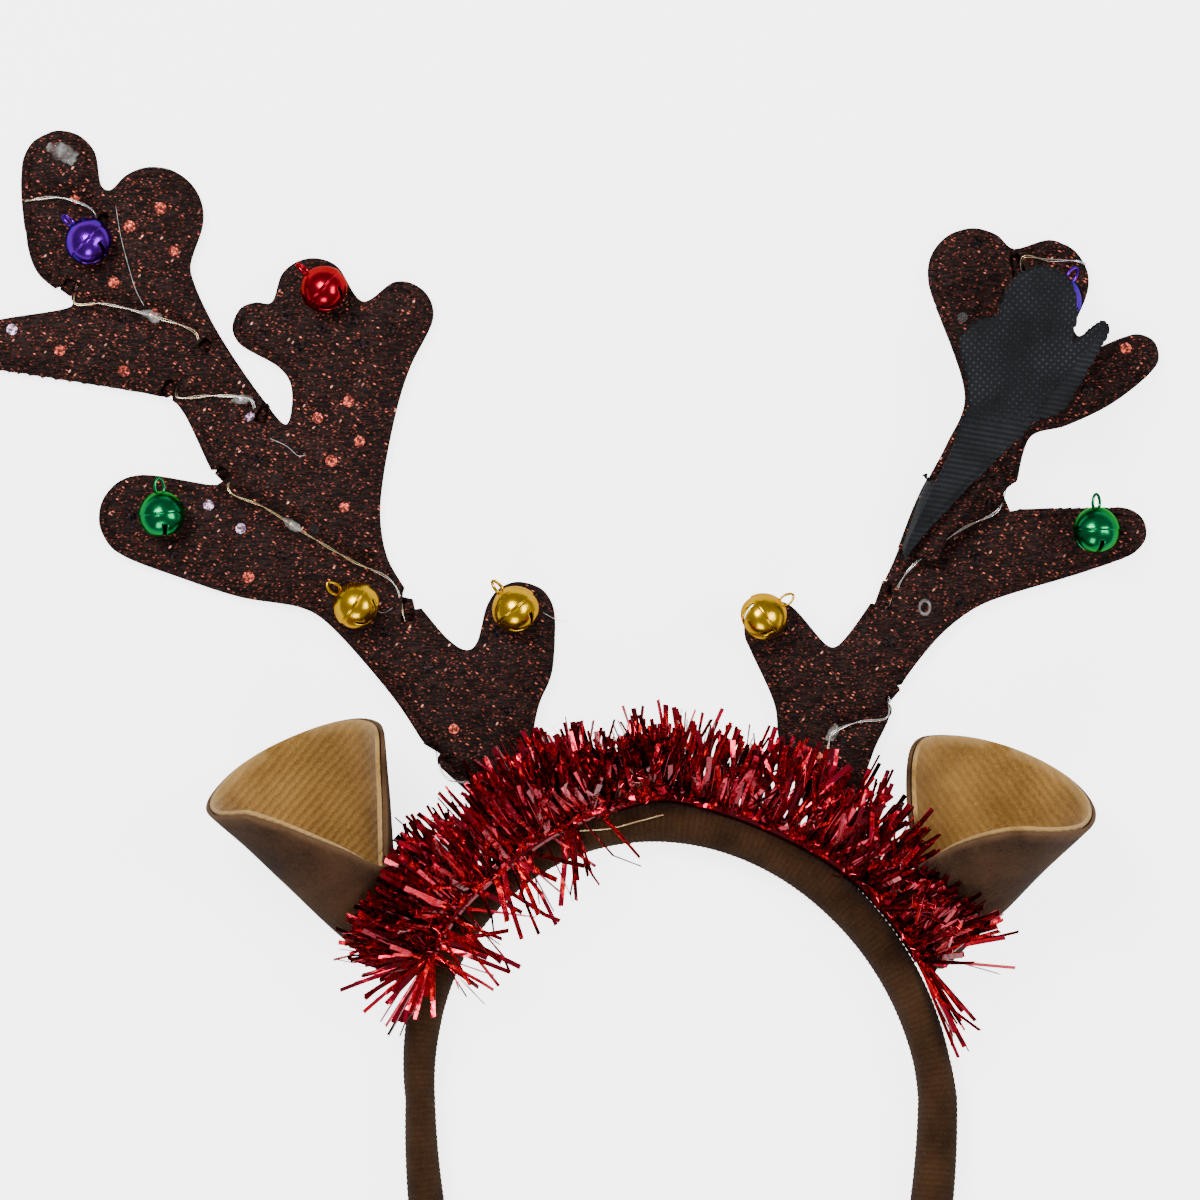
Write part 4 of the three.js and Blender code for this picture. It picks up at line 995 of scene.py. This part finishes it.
def bellShell(slotStart, roll):
    radius = bell["radius"]
    section = smoothPath([Vector((along, out, 0)) for along, out in bell["section"]], 4)

    def skin(u, v):
        row = section[round(u * (len(section) - 1))]
        lap = math.tau * v
        fade = max(0, min(1, (-row.x - 0.1) / 0.6))
        out = row.y * (1 - bell["lobes"] * fade * (0.5 + 0.5 * math.cos(4 * lap)) ** 2) * radius
        return Vector((row.x * radius, out * math.cos(lap), out * math.sin(lap)))

    shell = wrappedGrid(len(section) - 1, bell["sides"], skin)
    half = bell["slotWide"] / 2
    for axis in (Vector((0, 1, 0)), Vector((0, 0, 1))):
        for offset in (-half, half):
            bmesh.ops.bisect_plane(shell, geom=shell.verts[:] + shell.edges[:] + shell.faces[:], dist=1e-7,
                                   plane_co=axis * offset, plane_no=axis)
    slot = []
    for face in shell.faces:
        middle = face.calc_center_median()
        if middle.x < -slotStart * radius and min(abs(middle.y), abs(middle.z)) < half:
            slot.append(face)
    bmesh.ops.delete(shell, geom=slot, context="FACES")
    bmesh.ops.recalc_face_normals(shell, faces=shell.faces)
    bmesh.ops.solidify(shell, geom=shell.faces, thickness=bell["wall"])
    bmesh.ops.rotate(shell, verts=shell.verts, matrix=Matrix.Rotation(math.radians(roll), 3, "X"))
    return shell


def bellLoop(roll):
    # a flattened wire bent to a narrow eye, wider where it enters the shell
    def ring(u, v):
        angle, lap = math.tau * u, math.tau * v
        share = 0.5 - 0.5 * math.cos(angle)
        along = bell["radius"] * bell["loopStart"] + share * bell["loopLong"]
        wide = math.sin(angle) * bell["loopHalf"] * (1.15 - 0.35 * share)
        outward = Vector((-math.cos(angle), math.sin(angle), 0))
        spot = Vector((along, wide, 0)) + outward * math.cos(lap) * bell["loopWire"]
        return spot + Vector((0, 0, math.sin(lap) * bell["loopWire"] * 1.4))

    loop = wrappedGrid(32, 10, ring, close=False)
    bmesh.ops.rotate(loop, verts=loop.verts, matrix=Matrix.Rotation(math.radians(roll), 3, "X"))
    return loop


def makeBell(name, turn, roll, slotStart, loopRoll):
    bm = joined([bellShell(slotStart, roll), bellLoop(loopRoll)])
    bmesh.ops.rotate(bm, verts=bm.verts, matrix=Matrix.Rotation(math.radians(turn), 3, "Z"))
    low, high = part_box(name)
    reach = bell["radius"] * 0.98
    x = low.x + reach if math.cos(math.radians(turn)) > 0 else high.x - reach
    y = low.y + reach if math.sin(math.radians(turn)) > 0 else high.y - reach
    bmesh.ops.translate(bm, verts=bm.verts, vec=(x, y, (low.z + high.z) / 2))
    colour = name.split("_")[-1]
    addPiece(bm, name.replace("_bell_", "Bell_"), lacquers[colour], [name])


for name, rest in bells.items():
    makeBell(name, *rest)
print("bells made:", len(bells))


# Ears: rolled felt with a ribbed velour inside

ear = {"levels": 3, "rimAngle": 50, "waver": 0.0005, "waverSize": 55, "nubAt": (-0.0940, 0.0421),
       "nubReach": 0.0021, "nubRise": 0.0026, "rimBand": 0.0011}


def rimEdgePoints(bm):
    # points along the rim, between the outer and the inner face of the wall
    found = []
    for edge in bm.edges:
        if len(edge.link_faces) == 2 and edge.calc_face_angle(0) > math.radians(ear["rimAngle"]):
            a, b = (vert.co for vert in edge.verts)
            if (b - a).length < 1e-6 or max(a.z, b.z) < 0.004:
                continue
            steps = max(1, round((b - a).length / 0.0008))
            found += [a.lerp(b, i / steps) for i in range(steps)]
    return found


def makeEar(side, kind, material):
    name = f"{side}_ear_{kind}"
    bm = copyOfNode(name)
    bmesh.ops.join_triangles(bm, faces=bm.faces, angle_face_threshold=0.7, angle_shape_threshold=0.7)
    bm.normal_update()
    crease = bm.edges.layers.float.new("crease_edge")
    for edge in bm.edges:
        if len(edge.link_faces) == 2 and edge.calc_face_angle(0) > math.radians(ear["rimAngle"]):
            edge[crease] = 0.75
    points = rimEdgePoints(bm)
    rim = KDTree(len(points))
    for i, point in enumerate(points):
        rim.insert(point, i)
    rim.balance()
    piece = addPiece(bm, side + "Ear" + kind.capitalize(), material, [name])
    subdivided(piece, ear["levels"])
    finished = bmesh.new()
    finished.from_mesh(piece.data)
    tone = finished.verts.layers.float.new("rimHighlight")
    nub = Vector((*ear["nubAt"], 0)) + archOrigin
    for vert in finished.verts:
        # strength of the painted rim highlight, fading away from the rim
        vert[tone] = 0.85 * bell01(rim.find(vert.co)[2], ear["rimBand"])
        sway = noise.noise_vector(vert.co * ear["waverSize"])
        vert.co += sway * ear["waver"] * min(1, vert.co.z / 0.01)
        if side == "left" and kind == "shell":
            flat = Vector((vert.co.x - nub.x, vert.co.y - nub.y, 0)).length
            vert.co += Vector((-0.75, -0.65, 0)) * ear["nubRise"] * bell01(flat, ear["nubReach"])
    finished.to_mesh(piece.data)
    finished.free()
    piece.data.shade_smooth()
    return piece


earPieces = {}
for side in ("left", "right"):
    earPieces[side] = [makeEar(side, "shell", felt),
                       makeEar(side, "lining", velours[side])]
print("ears made")


# Tinsel: film strips caught in a twisted core along the arch

tinsel = {
    "core": [(151, 0.35, 1.0), (138, 0.3, 1.0), (112, 0.3, 1.0), (98, 0.45, 0.95), (86, 0.62, 0.75),
             (50, 0.62, 0.7), (28, 0.62, 0.7), (22, 0.5, 0.86)],
    "reach": [(0, 1.0), (0.15, 1.05), (0.3, 1.12), (0.42, 0.92), (0.45, 0.62), (0.5, 0.92), (0.62, 1.0), (0.72, 1.1),
              (0.8, 1.2), (1, 1.1)],
    "coreRadius": 0.0022, "cord": 0.0013, "overSleeve": 0.42, "ends": 0.87, "long": 0.0262, "wide": 0.00135,
    "film": 0.055, "steps": 5, "seed": 5, "strips": 1500, "inwardShare": 0.07, "crumbs": 520, "knot": 60,
    "tail": 16,
}


def corePath():
    points = []
    for turn, out, lift in tinsel["core"]:
        height = band["depth"] * lift + tinsel["coreRadius"] + (0.0003 if lift == 1 else 0)
        points.append(besideArch(turn, band["thick"] * out, height) + archOrigin)
    return smoothPath(points, 24)


def stripTemplate():
    # a thin flat strip with square ends, one unit long and wide
    bm = bmesh.new()
    bmesh.ops.create_grid(bm, x_segments=tinsel["steps"], y_segments=1, size=0.5)
    bmesh.ops.translate(bm, verts=bm.verts, vec=(0.5, 0, 0))
    bmesh.ops.recalc_face_normals(bm, faces=bm.faces)
    bmesh.ops.solidify(bm, geom=bm.faces, thickness=tinsel["film"])
    mesh = bpy.data.meshes.new("strip")
    bm.to_mesh(mesh)
    bm.free()
    return mesh


def treeOf(pieces):
    verts, faces = [], []
    for piece in pieces:
        start = len(verts)
        verts += [v.co for v in piece.data.vertices]
        faces += [[start + i for i in p.vertices] for p in piece.data.polygons]
    return BVHTree.FromPolygons(verts, faces)


def addStrip(bm, template, tone, start, aim, length, wide, rng, kinked):
    count = len(bm.verts)
    bm.from_mesh(template)
    bm.verts.ensure_lookup_table()
    across = aim.orthogonal().normalized()
    across.rotate(Matrix.Rotation(rng.uniform(0, math.tau), 3, aim))
    facing = aim.cross(across)
    kinkAt = rng.choice((0.4, 0.6, 0.8)) if rng.random() < kinked else 1.0
    kinkTurn = math.radians(rng.uniform(-38, 38))
    bent = aim * math.cos(kinkTurn) + facing * math.sin(kinkTurn)
    curl = rng.gauss(0, 0.035)
    twist = rng.gauss(0, 0.35)
    shade = rng.random() ** 1.3
    for vert in bm.verts[count:]:
        u, y, z = vert.co
        turned = Matrix.Rotation(twist * u, 3, aim)
        spine = start + aim * (min(u, kinkAt) * length) + bent * (max(0, u - kinkAt) * length)
        spine += facing * (curl * u * u * length)
        vert.co = spine + turned @ (across * (y * wide) + facing * (z * wide))
        vert[tone] = shade


def makeTinsel():
    rng = random.Random(tinsel["seed"])
    path = corePath()
    template = stripTemplate()
    stops = treeOf([pads["left"], pads["right"], *earPieces["left"], *earPieces["right"]])
    bm = bmesh.new()
    tone = bm.verts.layers.float.new("stripTone")

    def corePlace(u):
        at = min(len(path) - 2, int(u * (len(path) - 1)))
        run = (path[at + 1] - path[at]).normalized()
        outward = Vector((-run.y, run.x, 0)).normalized()
        return path[at].lerp(path[at + 1], rng.random()), run, outward

    def grow(start, heading, lift, length, kinked=0.3, step=13):
        for _ in range(7):
            aim = (heading * math.cos(math.radians(lift)) + Vector((0, 0, math.sin(math.radians(lift))))).normalized()
            stop = stops.ray_cast(start, aim, length)
            if stop[0] is None or lift > 80:
                break
            lift += step
        if stop[0] is not None:
            length = max(0.004, stop[3] - 0.0006)
        addStrip(bm, template, tone, start, aim, length, tinsel["wide"] * rng.uniform(0.75, 1.12), rng, kinked)

    for i in range(tinsel["strips"]):
        u = tinsel["ends"] * (i + rng.random()) / tinsel["strips"]
        start, run, outward = corePlace(u)
        heading = Matrix.Rotation(math.radians(rng.gauss(0, 18)), 3, "Z") @ outward
        if u < tinsel["overSleeve"] and rng.random() < tinsel["inwardShare"]:
            grow(start, -heading, rng.uniform(-8, 38), tinsel["long"] * rng.uniform(0.5, 0.85), 0.5)
            continue
        lift = 78 * rng.random() ** 1.5 - (12 if u < tinsel["overSleeve"] else 5)
        tuft = 0.94 + 0.2 * noise.noise(Vector((u * 60, 0, 0)))
        grow(start, heading, lift, tinsel["long"] * between(tinsel["reach"], u) * tuft * rng.uniform(0.72, 1.04))
    for i in range(tinsel["crumbs"]):
        start, run, outward = corePlace(tinsel["ends"] * rng.random())
        heading = Matrix.Rotation(math.radians(rng.uniform(-100, 100)), 3, "Z") @ outward
        grow(start, heading, rng.uniform(0, 75), tinsel["long"] * rng.uniform(0.14, 0.34), 0.8)
    for i in range(tinsel["knot"]):
        start, run, outward = corePlace(0.03 * rng.random())
        heading = Matrix.Rotation(math.radians(rng.uniform(-20, 125)), 3, "Z") @ outward
        grow(start, heading, rng.uniform(-12, 45), tinsel["long"] * rng.uniform(0.5, 1.0), 0.4)
    for i in range(tinsel["tail"]):
        start, run, outward = corePlace(rng.uniform(0.8, 0.88))
        heading = Matrix.Rotation(math.radians(rng.gauss(0, 4)), 3, "Z") @ Vector((run.x, run.y, 0)).normalized()
        grow(start, heading, rng.uniform(4, 10), tinsel["long"] * rng.uniform(0.9, 1.1), 0.1, 4)
    cord = strandMesh([path[:round(len(path) * tinsel["ends"])]], tinsel["cord"])
    piece = addPiece(joined([bm, cord]), "tinselStrips", film, ["tinsel_garland"])
    piece.data.shade_flat()
    bpy.data.meshes.remove(template)


makeTinsel()
print("tinsel made")


# Studio: pale floor, soft lights, camera straight above

studio = {"seen": 0.312, "height": 2.2, "sensor": 36.0, "level": 0.008, "centre": (-0.02054, 0.130)}


def makeFloor():
    bm = bmesh.new()
    bmesh.ops.create_grid(bm, x_segments=2, y_segments=2, size=2.5)
    bmesh.ops.translate(bm, verts=bm.verts, vec=(0, 0, -0.0002))
    mesh = bpy.data.meshes.new("floor")
    bm.to_mesh(mesh)
    bm.free()
    material, tree, shader = addMaterial("paleFloor", {"Roughness": 0.85, "Specular IOR Level": 0.1,
                                                       "Emission Strength": 5.0})
    soft = addNode(tree, "TexNoise", {"Vector": objectPlace(tree), "Scale": 3.0, "Detail": 1.0})
    colour = mixOver(tree, soft.outputs[0], (0.72, 0.72, 0.72), (0.75, 0.75, 0.75))
    tree.links.new(colour, shader.inputs["Base Color"])
    seen = addNode(tree, "LightPath").outputs["Is Camera Ray"]
    tree.links.new(mixOver(tree, seen, (0, 0, 0), colour), shader.inputs["Emission Color"])
    mesh.materials.append(material)
    floor = bpy.data.objects.new("floor", mesh)
    bpy.context.scene.collection.objects.link(floor)


def addLight(name, place, size, power, aim=(0, 0.03, 0)):
    data = bpy.data.lights.new(name, "AREA")
    data.size = size
    data.energy = power
    lamp = bpy.data.objects.new(name, data)
    lamp.location = place
    lamp.rotation_euler = (Vector(aim) - Vector(place)).to_track_quat("-Z", "Y").to_euler()
    bpy.context.scene.collection.objects.link(lamp)


def makeStudio():
    makeFloor()
    addLight("softKey", (-0.40, 0.50, 0.95), 0.42, 16)
    addLight("softFill", (0.75, 0.10, 0.75), 0.5, 9)
    addLight("softLow", (-0.15, -0.85, 0.65), 0.5, 7)
    world = bpy.data.worlds.new("studioAir")
    world.use_nodes = True
    world.node_tree.nodes["Background"].inputs[0].default_value = (0.95, 0.97, 1.0, 1)
    world.node_tree.nodes["Background"].inputs[1].default_value = 0.34
    bpy.context.scene.world = world
    data = bpy.data.cameras.new("camera")
    data.sensor_width = studio["sensor"]
    data.lens = studio["sensor"] * studio["height"] / studio["seen"]
    data.clip_end = 20
    camera = bpy.data.objects.new("camera", data)
    camera.location = archOrigin + Vector((*studio["centre"], studio["height"] + studio["level"]))
    bpy.context.scene.collection.objects.link(camera)
    bpy.context.scene.camera = camera


makeStudio()
